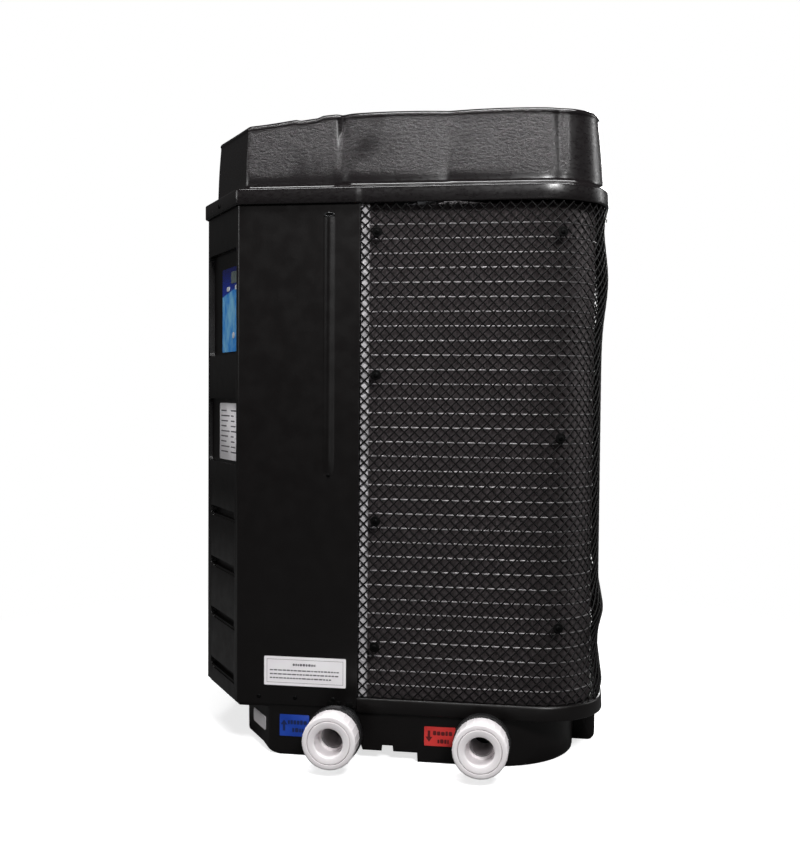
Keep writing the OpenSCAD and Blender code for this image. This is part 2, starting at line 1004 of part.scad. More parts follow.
module outlet_union_nut() {
    union_nut(outlet_x);
}

module tailpiece(x) {
    color([0.92, 0.90, 0.90])
    along_union(x)
    difference() {
        union() {
            cylinder(r = hub_r, h = tail_flange[0] + 1, $fn = 96);
            translate([0, 0, tail_flange[0]])
            cylinder(r = tail_flange_r, h = tail_flange[1] - tail_flange[0], $fn = 96);
            translate([0, 0, tail_flange[1] - 1])
            cylinder(r = tail_r, h = tail_end - tail_flange[1] + 1, $fn = 96);
        }
        translate([0, 0, -1])
        cylinder(r = socket_r, h = socket_depth + 1, $fn = 96);
        cylinder(r = bore_r, h = 60, $fn = 96);
    }
}

module inlet_tailpiece() {
    tailpiece(inlet_x);
}

module outlet_tailpiece() {
    tailpiece(outlet_x);
}

module union_seals() {
    color([0.05, 0.05, 0.05])
    for (x = [inlet_x, outlet_x])
    along_union(x)
    translate([0, 0, body_face - 0.4])
    ring(33.2, 36.8, 3.2);
}

module water_pressure_switch() {
    color([0.85, 0.84, 0.80]) {
        rod([inlet_x - pipe_r - 0.2, riser_y, 150], [-1, 0, 0], 7, 22, 32);
        rod([inlet_x - pipe_r - 20, riser_y, 150], [-1, 0, 0], 17, 32, 48);
    }
}

// ---- Labels and electrical entry ----

module rating_label() {
    color([0.90, 0.90, 0.90])
    on_slant()
    box([62, 5.5, 523], [181, 5.95, 628]);
}

module notice_label() {
    color([0.90, 0.90, 0.90])
    box([-217, -half_d - 0.45, 126], [-68, -half_d - 0.02, 178]);
}

module water_in_label() {
    color([0.10, 0.26, 0.58])
    box([inlet_x - 113, plinth_front - 0.45, 34], [inlet_x - 59, plinth_front - 0.02, 73]);
}

module water_out_label() {
    color([0.72, 0.20, 0.20])
    box([outlet_x - 106, plinth_front - 0.45, 31], [outlet_x - 51, plinth_front - 0.02, 65]);
}

module base_label() {
    color([0.90, 0.90, 0.90])
    translate([plinth_left, plinth_front + 103, 0])
    rotate([0, 0, atan2(-103, -208 - plinth_left)])
    box([35, -0.45, 36], [104, -0.02, 61]);
}

gland_y = -120;
gland_z = 180;

module cable_gland() {
    color([0.15, 0.15, 0.16])
    difference() {
        union() {
            rod([-half_w - 3.8, gland_y, gland_z], [1, 0, 0], 19, 3.6);
            rod([-half_w - 3.8, gland_y, gland_z], [1, 0, 0], 13.9, 24);
            rod([-half_w + wall + 0.3, gland_y, gland_z], [1, 0, 0], 20, 6, 6);
        }
        rod([-half_w - 10, gland_y, gland_z], [1, 0, 0], 10.6, 60);
    }
}

base_pan();
service_panel();
side_panel();
corner_posts();
top_cap();
fan_guard();
fan_blades();
fan_shaft();
fan_motor();
motor_bracket();
motor_bolts();
coil_fins();
coil_bends();
coil_end_plate_front();
coil_end_plate_rear();
coil_guard();
guard_screws();
guard_washers();
cap_screws();
panel_screws();
keypad();
display_window();
up_key();
down_key();
power_key();
control_board();
control_box();
contactor_body();
contactor_armature();
run_capacitor();
terminal_block();
transformer();
compressor();
compressor_grommets();
compressor_bolts();
exchanger_shell();
exchanger_coil();
discharge_line();
suction_line();
liquid_line();
expansion_valve();
filter_drier();
water_in_pipe();
water_out_pipe();
inlet_union_body();
outlet_union_body();
inlet_union_nut();
outlet_union_nut();
inlet_tailpiece();
outlet_tailpiece();
union_seals();
water_pressure_switch();
rating_label();
notice_label();
water_in_label();
water_out_label();
base_label();
cable_gland();
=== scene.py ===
import json
import math
import bmesh
import bpy
import numpy as np
from mathutils import Matrix, Vector


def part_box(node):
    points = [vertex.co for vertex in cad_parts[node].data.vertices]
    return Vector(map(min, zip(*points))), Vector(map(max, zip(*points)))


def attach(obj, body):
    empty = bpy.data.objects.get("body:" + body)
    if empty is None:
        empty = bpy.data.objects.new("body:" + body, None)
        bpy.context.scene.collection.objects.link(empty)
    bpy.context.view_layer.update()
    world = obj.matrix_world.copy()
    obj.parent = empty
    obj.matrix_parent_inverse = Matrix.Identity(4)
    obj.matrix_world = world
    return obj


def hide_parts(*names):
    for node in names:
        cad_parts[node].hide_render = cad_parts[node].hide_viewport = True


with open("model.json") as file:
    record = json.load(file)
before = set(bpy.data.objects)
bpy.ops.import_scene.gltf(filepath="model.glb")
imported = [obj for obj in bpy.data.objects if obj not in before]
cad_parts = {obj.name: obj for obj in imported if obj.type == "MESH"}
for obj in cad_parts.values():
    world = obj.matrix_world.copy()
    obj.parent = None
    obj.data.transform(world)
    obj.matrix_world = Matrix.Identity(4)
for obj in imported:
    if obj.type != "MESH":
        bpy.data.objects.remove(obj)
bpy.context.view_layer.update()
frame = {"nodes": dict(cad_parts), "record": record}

RNG = np.random.default_rng(7)
MM = 0.001
BODY = "cabinet"

# ---- Places taken from the frame ------------------------------------------------------

guard_lo, guard_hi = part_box("coil_guard")
panel_lo, panel_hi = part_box("service_panel")
side_lo, side_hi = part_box("side_panel")
cap_lo, cap_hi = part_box("top_cap")
RIM_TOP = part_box("base_pan")[1].z

RIGHT = guard_hi.x
LEFT = side_lo.x
BACK = guard_hi.y
FRONT = guard_lo.y
SEAM_X = panel_hi.x
SIDE_END_X = side_hi.x
PANEL_Z = (side_lo.z, side_hi.z)
RIM_LOW = RIM_TOP - 26 * MM
BAND_Z = cap_lo.z
TOP_Z = cap_hi.z
BAND_H = 28 * MM
SLANT_X = 110 * MM
SLANT_Y = 162 * MM
CORNER_R = 113 * MM
CAP_INSET = 20 * MM

CABINET = [
    (LEFT + SLANT_X, FRONT, 6 * MM),
    (RIGHT, FRONT, CORNER_R),
    (RIGHT, BACK, CORNER_R),
    (LEFT, BACK, CORNER_R),
    (LEFT, FRONT + SLANT_Y, 6 * MM),
]

# ---- Outlines -------------------------------------------------------------------------


def unit(rows):
    """Each row scaled to length 1."""
    return rows / np.linalg.norm(rows, axis=1)[:, None]


def raised(xy, z):
    """Plane points with a height added: one for all or one each."""
    return np.column_stack([xy, np.broadcast_to(z, len(xy))])


def inward(a, b):
    """Unit normal of the edge a-b that points into a counter-clockwise outline."""
    d = np.array(b) - np.array(a)
    return np.array([-d[1], d[0]]) / np.linalg.norm(d)


class Outline:
    """A rounded outline: points p, inward normals n and distance s, always the same count."""

    def __init__(self, corners, inset=0.0, min_r=0.004, spacing=0.006, arc_steps=28):
        xy = [np.array(c[:2]) for c in corners]
        following = xy[1:] + xy[:1]
        arcs = []
        for i, corner in enumerate(corners):
            a, b = inward(xy[i - 1], xy[i]), inward(xy[i], following[i])
            r = max(min_r, corner[2] - inset)
            centre = xy[i] + (a + b) / (1 + a @ b) * (inset + r)
            t = math.atan2(-a[1], -a[0]) + math.acos(min(1.0, a @ b)) * np.arange(arc_steps + 1) / arc_steps
            out = np.column_stack([np.cos(t), np.sin(t)])
            arcs.append((centre + r * out, -out))
        points, normals = [], []
        for (arc, turned), (arc_after, _), a, b in zip(arcs, arcs[1:] + arcs[:1], xy, following):
            steps = max(2, int(np.linalg.norm(b - a) / spacing))
            t = np.arange(1, steps)[:, None] / steps
            points += [arc, arc[-1] * (1 - t) + arc_after[0] * t]
            normals += [turned, np.repeat(turned[-1:], steps - 1, axis=0)]
        self.p = np.vstack(points)
        self.n = np.vstack(normals)
        gaps = np.linalg.norm(np.diff(self.p, axis=0, append=self.p[:1]), axis=1)
        self.s = np.concatenate([[0], np.cumsum(gaps)[:-1]])
        self.length = gaps.sum()

    def s_at_x(self, x, front=True):
        """Distance along the outline where its front or rear edge passes x."""
        side = 1 if front else -1
        edge = (self.n[:, 1] * side > 0.99) & (self.p[:, 1] * side < 0)
        order = np.argsort(self.p[edge][:, 0])
        return np.interp(x, self.p[edge][order][:, 0], self.s[edge][order])

    def nearest(self, point):
        """Index of the outline point nearest to point."""
        return np.linalg.norm(self.p - np.array(point[:2]), axis=1).argmin()

    def ring(self, z, extra=0.0):
        """The outline at height z, moved inward by extra (a number or one per point)."""
        extra = np.broadcast_to(extra, len(self.p))
        return raised(self.p + self.n * extra[:, None], z)

    def at(self, s):
        """Point and inward normal at distance s along the outline."""
        s = np.mod(s, self.length)
        ends = np.append(self.s, self.length)
        rows = [np.interp(s, ends, np.append(a[:, k], a[0, k])) for a in (self.p, self.n) for k in (0, 1)]
        point, normal = np.column_stack(rows[:2]), np.column_stack(rows[2:])
        return point, unit(normal)


def circle_like(ring, radius, z):
    """A circle about the Z axis with one point at each point's bearing in ring."""
    return raised(unit(ring[:, :2]) * radius, z)


# ---- Mesh building --------------------------------------------------------------------


def shade(mesh, angle):
    """Smooth shading with edges sharper than angle kept crisp."""
    mesh.polygons.foreach_set("use_smooth", [True] * len(mesh.polygons))
    mesh.set_sharp_from_angle(angle=math.radians(angle))


def link(name, data):
    obj = bpy.data.objects.new(name, data)
    bpy.context.scene.collection.objects.link(obj)
    return obj


def add_piece(name, mesh, look, node=None, body=BODY, smooth=40):
    """Adds a piece that rides on body and looks like MAT[look], in place of a CAD node."""
    mesh.name = name
    obj = link(name, mesh)
    shade(mesh, smooth)
    mesh.materials.append(MAT[look])
    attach(obj, body)
    if node:
        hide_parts(node)
    return obj


def build_mesh(verts, faces):
    mesh = bpy.data.meshes.new("piece")
    mesh.from_pydata([tuple(v) for v in verts], [], [tuple(f) for f in faces])
    mesh.validate()
    return mesh


def loft_faces(count, rings, closed=False):
    """Quads between consecutive rings of count points each."""
    faces = []
    last = rings if closed else rings - 1
    for r in range(last):
        a = r * count
        b = (r + 1) % rings * count
        for i in range(count):
            j = (i + 1) % count
            faces.append((a + i, a + j, b + j, b + i))
    return faces


def loft(rings):
    """A closed surface through rings, the last joined to the first, its normals outward."""
    mesh = build_mesh(np.vstack(rings), loft_faces(len(rings[0]), len(rings), True))
    fix_normals(mesh)
    return mesh


def capped(rings):
    """A loft with flat ends, its normals outward."""
    count = len(rings[0])
    faces = loft_faces(count, len(rings))
    faces.append(tuple(reversed(range(count))))
    faces.append(tuple(range((len(rings) - 1) * count, len(rings) * count)))
    mesh = build_mesh(np.vstack(rings), faces)
    fix_normals(mesh)
    return mesh


def open_tubes(tubes):
    """Bars with closed ends, each given as its lengthwise rows of points, in order round."""
    verts, faces = [], []
    for rows in tubes:
        first, sides, count = len(verts), len(rows), len(rows[0])
        for row in rows:
            verts.extend(row)
        for k in range(sides):
            a, b = first + k * count, first + (k + 1) % sides * count
            for i in range(count - 1):
                faces.append((a + i, a + i + 1, b + i + 1, b + i))
        for end in (0, count - 1):
            faces.append(tuple(first + k * count + end for k in range(sides)))
    mesh = build_mesh(verts, faces)
    fix_normals(mesh)
    return mesh


def around(centre, a, b, sides):
    """Rows of points round centre at equal turns between the half-axes a and b."""
    turns = [2 * math.pi * k / sides for k in range(sides)]
    return [centre + a * math.cos(t) + b * math.sin(t) for t in turns]


def lathe(profile, segments=96, origin=(0, 0, 0), axis=(0, 0, 1), ribs=None):
    """Turns profile, a closed list of (radius, distance along axis), about axis."""
    axis = Vector(axis).normalized()
    turn = Vector((0, 0, 1)).rotation_difference(axis).to_matrix()
    rings = []
    a = np.arange(segments) * 2 * math.pi / segments
    for r, h in profile:
        radius = r + (ribs(a, r, h) if ribs else np.zeros(segments))
        ring = raised(np.column_stack([radius * np.cos(a), radius * np.sin(a)]), h)
        rings.append(ring @ np.array(turn).T + np.array(origin))
    return loft(rings)


def in_mm(points):
    return [tuple(c * MM for c in point) for point in points]


def round_box(lo, hi, r, segments=3):
    """A box with its edges rounded."""
    bm = bmesh.new()
    bmesh.ops.create_cube(bm, size=1)
    bmesh.ops.scale(bm, vec=Vector(hi) - Vector(lo), verts=bm.verts)
    bmesh.ops.translate(bm, vec=(Vector(hi) + Vector(lo)) / 2, verts=bm.verts)
    bmesh.ops.bevel(bm, geom=bm.edges[:], offset=r, segments=segments, profile=0.5, affect="EDGES")
    mesh = bpy.data.meshes.new("piece")
    bm.to_mesh(mesh)
    bm.free()
    return mesh


def rounded_rect(w, h, r, steps=6):
    """Corner-rounded rectangle about the origin, counter-clockwise."""
    points = []
    for cx, cy, start in ((1, -1, -90), (1, 1, 0), (-1, 1, 90), (-1, -1, 180)):
        for k in range(steps + 1):
            a = math.radians(start + 90 * k / steps)
            x = cx * (w / 2 - r) + r * math.cos(a)
            points.append((x, cy * (h / 2 - r) + r * math.sin(a)))
    return points


def plate(outline2d, depth, place, edge):
    """A thin plate: the outline in its local XZ plane, its thickness along local +Y."""
    base = np.array(outline2d)
    size = np.abs(base).max()
    rings = []
    for scale, y in ((1 - edge / size, 0), (1, edge), (1, depth)):
        rings.append(np.column_stack([base[:, 0] * scale, np.full(len(base), y), base[:, 1] * scale]))
    mesh = capped(rings)
    mesh.transform(place)
    return mesh


def fix_normals(mesh):
    bm = bmesh.new()
    bm.from_mesh(mesh)
    bmesh.ops.recalc_face_normals(bm, faces=bm.faces)
    bm.to_mesh(mesh)
    bm.free()


def join(meshes):
    """One mesh from several, each kept as its own island, its normals outward."""
    bm = bmesh.new()
    for mesh in meshes:
        bm.from_mesh(mesh)
    bmesh.ops.recalc_face_normals(bm, faces=bm.faces)
    out = bpy.data.meshes.new("piece")
    bm.to_mesh(out)
    bm.free()
    for mesh in meshes:
        bpy.data.meshes.remove(mesh)
    return out


def apply_modifiers(obj):
    """Turns the object's modifiers into its mesh."""
    depsgraph = bpy.context.evaluated_depsgraph_get()
    mesh = bpy.data.meshes.new_from_object(obj.evaluated_get(depsgraph))
    obj.modifiers.clear()
    obj.data = mesh


def boolean(obj, cutters, operation="DIFFERENCE"):
    for mesh in cutters:
        cutter = link("cutter", mesh)
        mod = obj.modifiers.new("cut", "BOOLEAN")
        mod.operation = operation
        mod.solver = "EXACT"
        mod.object = cutter
        bpy.context.view_layer.update()
        apply_modifiers(obj)
        bpy.data.objects.remove(cutter)


def carve(mesh, cutters):
    """The mesh with its cutters taken away."""
    holder = link("holder", mesh)
    boolean(holder, cutters)
    mesh = holder.data
    bpy.data.objects.remove(holder)
    return mesh


def bevel(obj, width, segments, angle=40):
    mod = obj.modifiers.new("round", "BEVEL")
    mod.width = width
    mod.segments = segments
    mod.limit_method = "ANGLE"
    mod.angle_limit = math.radians(angle)


def round_edges(obj):
    bevel(obj, 1.6 * MM, 3, 38)
    apply_modifiers(obj)
    shade(obj.data, 35)


# Frame of the slanted control face: local x from its left edge, y inward, z up.
SLANT_TURN = -math.atan2(SLANT_Y, SLANT_X)
SLANT = Matrix.Translation((LEFT, FRONT + SLANT_Y, 0)) @ Matrix.Rotation(SLANT_TURN, 4, "Z")


def on_slant(u, y, z):
    return SLANT @ Matrix.Translation((u * MM, y * MM, z * MM))


def on_front(x, y, z):
    return Matrix.Translation((x, y, z))


# ---- Materials ------------------------------------------------------------------------


def srgb(*values):
    """Linear colour from 0-255 display values."""
    shares = [c / 255 for c in values]
    return (*[c / 12.92 if c <= 0.04045 else ((c + 0.055) / 1.055) ** 2.4 for c in shares], 1.0)


def add_node(tree, kind, inputs=(), **settings):
    """A new shader node; inputs pairs its sockets with values or with other outputs."""
    node = tree.nodes.new("ShaderNode" + kind)
    for key, value in settings.items():
        setattr(node, key, value)
    for key, value in inputs:
        if isinstance(value, bpy.types.NodeSocket):
            tree.links.new(value, node.inputs[key])
        else:
            node.inputs[key].default_value = value
    return node


class Shader:
    """A Principled material with helpers for procedural inputs in object coordinates."""

    def __init__(self, name, color, rough=0.5, metal=0.0, spec=0.5):
        self.mat = bpy.data.materials.new(name)
        self.mat.use_nodes = True
        self.tree = self.mat.node_tree
        self.bsdf = self.tree.nodes["Principled BSDF"]
        values = {"Base Color": srgb(*color), "Roughness": rough, "Metallic": metal}
        for key, value in {**values, "Specular IOR Level": spec}.items():
            self.bsdf.inputs[key].default_value = value
        self.coord = self.node("TexCoord", "Object")
        self.height = None

    def node(self, kind, output, inputs=(), **settings):
        return add_node(self.tree, kind, inputs, **settings).outputs[output]

    def mapping(self, scale=(1, 1, 1)):
        return self.node("Mapping", "Vector", [("Scale", scale), ("Vector", self.coord)])

    def noise(self, scale, detail=3, rough=0.5, stretch=(1, 1, 1)):
        inputs = [("Scale", scale), ("Detail", detail), ("Roughness", rough)]
        return self.node("TexNoise", "Fac", inputs + [("Vector", self.mapping(stretch))])

    def axis(self, name, vector=None):
        return self.node("SeparateXYZ", name, [(0, vector or self.coord)])

    def math(self, operation, a, b=0.0, c=0.0):
        return self.node("Math", 0, enumerate((a, b, c)), operation=operation)

    def times(self, a, b):
        return self.math("MULTIPLY", a, b)

    def ramp(self, value, low, high, out_low=0.0, out_high=1.0):
        keys = ("From Min", "From Max", "To Min", "To Max", "Value")
        inputs = zip(keys, (low, high, out_low, out_high, value))
        return self.node("MapRange", 0, inputs, interpolation_type="SMOOTHSTEP")

    def mix(self, fac, a, b):
        """Colour mix; 6, 7 and output 2 are the node's colour sockets."""
        a, b = (srgb(*c) if isinstance(c, tuple) else c for c in (a, b))
        return self.node("Mix", 2, [(0, fac), (6, a), (7, b)], data_type="RGBA")

    def color(self, value):
        self.tree.links.new(value, self.bsdf.inputs["Base Color"])

    def rough(self, value):
        self.tree.links.new(value, self.bsdf.inputs["Roughness"])

    def bump(self, value, strength, distance):
        """Adds a bump on top of the ones before it."""
        inputs = [("Strength", strength), ("Distance", distance), ("Height", value)]
        if self.height is not None:
            inputs.append(("Normal", self.height))
        self.height = self.node("Bump", "Normal", inputs)
        self.tree.links.new(self.height, self.bsdf.inputs["Normal"])


def moulded_black():
    """Rotomoulded polyethylene: orange peel, faint bloom and soft sheen."""
    tone = (14, 12, 12)
    m = Shader("moulded_black", tone, spec=0.32)
    bloom = m.ramp(m.noise(5, 5, 0.6), 0.35, 0.75)
    scuff = m.ramp(m.noise(60, 4, 0.7, (1, 1, 0.25)), 0.55, 0.8)
    blend = m.math("MULTIPLY_ADD", scuff, 0.3, m.times(bloom, 0.15))
    m.color(m.mix(blend, tone, (22, 19, 19)))
    m.rough(m.ramp(m.noise(35, 3), 0.3, 0.7, 0.32, 0.39))
    m.bump(m.noise(260, 2, 0.55), 0.14, 0.0007)
    m.bump(m.noise(8, 2, 0.5), 0.012, 0.004)
    return m.mat


def hammered_black():
    """The cap's rough skin: short dimples on its front and lobes, smooth near the band; the dimples' pale
    flecks are painted sheen, kept to faces turned to the front lamps.
    """
    m = Shader("hammered_black", (34, 31, 32), 0.32)
    facing = m.node("NewGeometry", "Normal")
    up, right = m.axis("Z", facing), m.axis("X", facing)
    front = m.ramp(m.math("ABSOLUTE", up), 0.25, 0.5, 1.0, 0.0)
    # Painted shade: no pale flecks on faces turned to the left or round the right corner, away from the
    # front lamps.
    corner = m.times(m.ramp(right, -0.6, -0.4), m.ramp(right, 0.22, 0.42, 1.0, 0.0))
    above = m.ramp(m.axis("Z"), BAND_Z + BAND_H + 0.01, BAND_Z + BAND_H + 0.035)
    patches = m.ramp(m.noise(9, 3, 0.6), 0.3, 0.6, 0.35, 1.0)
    skin_and_sheen_mask = m.times(m.times(front, above), m.times(patches, corner))
    flecks = m.noise(190, 5, 0.75, (0.6, 0.6, 1.3))
    # Painted sheen: the flecks' pale colour stands for light caught by the dimples; their bump is the real
    # skin.
    bright = m.times(m.ramp(flecks, 0.36, 0.72), skin_and_sheen_mask)
    m.color(m.mix(bright, (20, 17, 18), (72, 67, 69)))
    polish = m.ramp(up, 0.12, 0.35, 1.0, 0.4)
    m.rough(m.times(m.ramp(flecks, 0.35, 0.7, 0.38, 0.24), polish))
    m.bump(m.times(flecks, skin_and_sheen_mask), 0.8, 0.003)
    m.bump(m.noise(16, 2), 0.3, 0.004)
    return m.mat


def mottled(name, tone, pale, patch, rough, spread, grain, metal=0.0, spec=0.5, shaded=0):
    """Two tones in soft patches, uneven roughness and a fine grain.

    patch is (scale, detail, roughness, low, high); spread is (scale, less, more); grain is
    (scale, strength, distance); shaded is the share of painted shade where the coil turns the corner.
    """
    m = Shader(name, tone, rough, metal, spec)
    color = m.mix(m.ramp(m.noise(*patch[:3]), *patch[3:]), tone, pale)
    m.color(corner_shade(m, color, shaded) if shaded else color)
    m.rough(m.ramp(m.noise(spread[0], 3), 0.3, 0.7, rough - spread[1], rough + spread[2]))
    m.bump(m.noise(grain[0], 2), *grain[1:])
    return m.mat


def plain_plastic(name, tone, pale, rough=0.35, grain=0.12, scale=400):
    return mottled(name, tone, pale, (25, 4, 0.5, 0.3, 0.75), rough, (90, 0.06, 0.08),
                   (scale, grain, 0.0003))


def tube_metal(name, tone, pale, rough=0.3, metal=1.0, shaded=0):
    return mottled(name, tone, pale, (30, 5, 0.65, 0.35, 0.7), rough, (120, 0.08, 0.15),
                   (500, 0.08, 0.0002), metal, shaded=shaded)


def painted(name, tone, rough=0.35, spec=0.5):
    pale = tuple(c + 6 for c in tone)
    return mottled(name, tone, pale, (45, 4, 0.6, 0.4, 0.8), rough, (200, 0.05, 0.12),
                   (350, 0.18, 0.0003), spec=spec)


def sheet_metal(name, tone, pale):
    """Galvanised sheet: pale and dark crystals with their own sheen."""
    m = Shader(name, tone, metal=0.3)
    cells = m.node("TexVoronoi", "Color", [("Scale", 90), ("Vector", m.mapping())])
    bright = m.axis(0, cells)
    m.color(m.mix(m.ramp(bright, 0.1, 0.9), tone, pale))
    m.rough(m.ramp(bright, 0, 1, 0.27, 0.47))
    m.bump(m.noise(300, 2), 0.1, 0.0002)
    return m.mat


def corner_shade(m, color, share):
    """Painted shade: darkens the coil where it turns the corner."""
    turned = m.math("MINIMUM", m.axis("X"), m.times(m.axis("Y"), -1))
    dark = m.ramp(turned, RIGHT - CORNER_R - 0.05, RIGHT - CORNER_R + 0.04, 0, share)
    return m.mix(dark, color, (6, 5, 5))


def fin_stock():
    """Folded fin metal: even grey with fine tarnish, and painted shade where the coil turns the corner."""
    m = Shader("fin_stock", (92, 88, 89), metal=0.4)
    tarnish = m.ramp(m.noise(160, 4, 0.6), 0.3, 0.7)
    m.color(corner_shade(m, m.mix(tarnish, (82, 76, 77), (108, 101, 103)), 0.35))
    m.rough(m.ramp(m.noise(90, 3), 0.3, 0.7, 0.42, 0.6))
    return m.mat


PLASTICS = {
    "fan_plastic": ((40, 40, 42), (56, 56, 58), 0.4),
    "key_white": ((226, 230, 234), (240, 242, 244), 0.3),
    "circuit_board": ((18, 78, 46), (26, 96, 58), 0.35),
    "black_phenolic": ((28, 28, 30), (44, 44, 46), 0.4),
    "cream_phenolic": ((206, 200, 180), (222, 217, 198), 0.45),
    "winding_paper": ((140, 104, 60), (168, 128, 78), 0.5),
    "rubber_black": ((20, 20, 20), (32, 31, 31), 0.7, 0.3),
    "exchanger_shell": ((50, 52, 55), (66, 68, 71), 0.45),
    "grey_pvc": ((205, 201, 203), (218, 214, 216), 0.4),
    "black_pvc": ((22, 22, 23), (38, 38, 39), 0.28, 0.1),
    "white_pvc": ((246, 240, 242), (252, 248, 249), 0.34, 0.1, 600),
    "label_white": ((246, 242, 245), (252, 250, 252), 0.4, 0.08),
    "label_blue": ((20, 58, 154), (30, 72, 176), 0.4, 0.08),
    "label_red": ((206, 50, 48), (222, 64, 60), 0.4, 0.08),
    "display_lens": ((96, 108, 108), (118, 130, 128), 0.15, 0.0),
    "ink": ((92, 88, 94), (112, 108, 113), 0.5, 0.05),
    "ink_blue": ((12, 30, 78), (18, 38, 92), 0.5, 0.05),
    "ink_red": ((84, 16, 18), (98, 22, 24), 0.5, 0.05),
}
METALS = {
    # tube_rows: the last value is the share of painted shade at the coil's corner.
    "tube_rows": ((196, 191, 194), (226, 222, 224), 0.4, 0.35, 0.65),
    "copper": ((176, 98, 62), (132, 70, 46), 0.3),
    "bright_aluminium": ((180, 182, 186), (205, 206, 210), 0.25),
    "titanium": ((150, 150, 146), (176, 176, 172), 0.35),
    "valve_brass": ((190, 150, 74), (160, 122, 60), 0.3),
}
PAINTS = {
    "coated_wire": ((26, 26, 27),),
    "motor_paint": ((58, 60, 63),),
    "guard_net": ((6, 5, 5), 0.5, 0.2),
    "black_fastener": ((2, 2, 2), 0.6, 0.1),
    "compressor_paint": ((20, 20, 22), 0.25),
}
MAT = {
    "black_moulding": moulded_black(),
    "cap_moulding": hammered_black(),
    "coil_metal": fin_stock(),
    "galvanised": sheet_metal("galvanised", (206, 203, 206), (240, 237, 240)),
    "bright_steel": tube_metal("zinc_steel", (165, 166, 170), (196, 197, 200), 0.32),
}
for maker, looks in ((plain_plastic, PLASTICS), (tube_metal, METALS), (painted, PAINTS)):
    MAT.update({key: maker(key, *tones) for key, tones in looks.items()})


def keypad_material():
    """Two-tone blue overlay: deep blue above a slanted edge, sky blue below."""
    lo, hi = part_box("keypad")
    m = Shader("keypad_film", (20, 44, 110), 0.25)
    height = hi.z - lo.z
    across = m.math("DIVIDE", m.math("SUBTRACT", m.axis("X"), lo.x), hi.x - lo.x)
    up = m.math("DIVIDE", m.math("SUBTRACT", m.axis("Z"), lo.z), height)
    edge = m.math("MULTIPLY_ADD", across, -0.10, up)
    split = m.ramp(edge, 0.66, 0.68)
    swirl = m.ramp(m.noise(28, 4, 0.6, (1, 1, 0.6)), 0.4, 0.7)
    sky = m.mix(swirl, (54, 152, 244), (140, 214, 255))
    deep = m.mix(m.ramp(up, 0.66, 1.0), (16, 54, 168), (4, 18, 96))
    m.color(m.mix(split, sky, deep))
    m.bump(m.noise(500, 2), 0.05, 0.0001)
    return m.mat


MAT["keypad_film"] = keypad_material()
for part in frame["record"]["subparts"]:
    node_looks = frame["nodes"][part["node"]].data.materials
    node_looks.clear()
    node_looks.append(MAT[part["material_slot"]])


# ---- Top cap --------------------------------------------------------------------------

RIM_DROP = 18 * MM
FACET_END_X = -96 * MM
VALLEY_X = -87 * MM
LOBE = 196 * MM
LOBE_DEPTH = 9 * MM
NOTCH_X = (-165 * MM, -125 * MM)
CONTROL_TAPER = (-3 * MM, 2 * MM)
LOBE_TAPER = (-15 * MM, -5 * MM)


def smoothstep(x, a, b):
    t = np.clip((np.asarray(x, float) - a) / (b - a), 0, 1)
    return t * t * (3 - 2 * t)


def lobe_run(outline):
    """Where the lobes start and end along the outline: all but the flat control corner."""
    start = outline.s_at_x(VALLEY_X)
    left = (outline.p[:, 0] < LEFT + 60 * MM) & (outline.n[:, 0] > 0.99)
    return start, outline.s[left].max() - 25 * MM


def lobe_share(outline):
    """1 where the cap has lobes, 0 on the control corner, with short ramps."""
    start, end = lobe_run(outline)
    ramp_in = smoothstep(outline.s, outline.s_at_x(FACET_END_X), start)
    ramp_out = 1 - smoothstep(outline.s, end, end + 12 * MM)
    return ramp_in * ramp_out


def scallops(outline):
    """Inward offset of the lobed wall: rounded lobes between narrow valleys."""
    start, end = lobe_run(outline)
    count = round((end - start) / LOBE)
    t = (outline.s - start) / ((end - start) / count)
    phase = np.mod(t, 1)
    lobes = LOBE_DEPTH * (2 * phase - 1) ** 2
    deep = 6 * MM * np.exp(-(((outline.s - start) / (14 * MM)) ** 2))
    return lobe_share(outline) * (lobes + deep)


def rim_heights(outline):
    """How far the cap's rim sits below its highest point, all round."""
    x, y = outline.p[:, 0], outline.p[:, 1]
    along = x - LEFT + y - FRONT
    drop = RIM_DROP * (1 - smoothstep(along, 115 * MM, 320 * MM))
    front = y < FRONT + 60 * MM
    notch = smoothstep(x, NOTCH_X[0] - 6 * MM, NOTCH_X[0] + 6 * MM)
    notch = notch * (1 - smoothstep(x, NOTCH_X[1] - 6 * MM, NOTCH_X[1] + 6 * MM))
    return drop + np.where(front, 3 * MM * notch, 0)


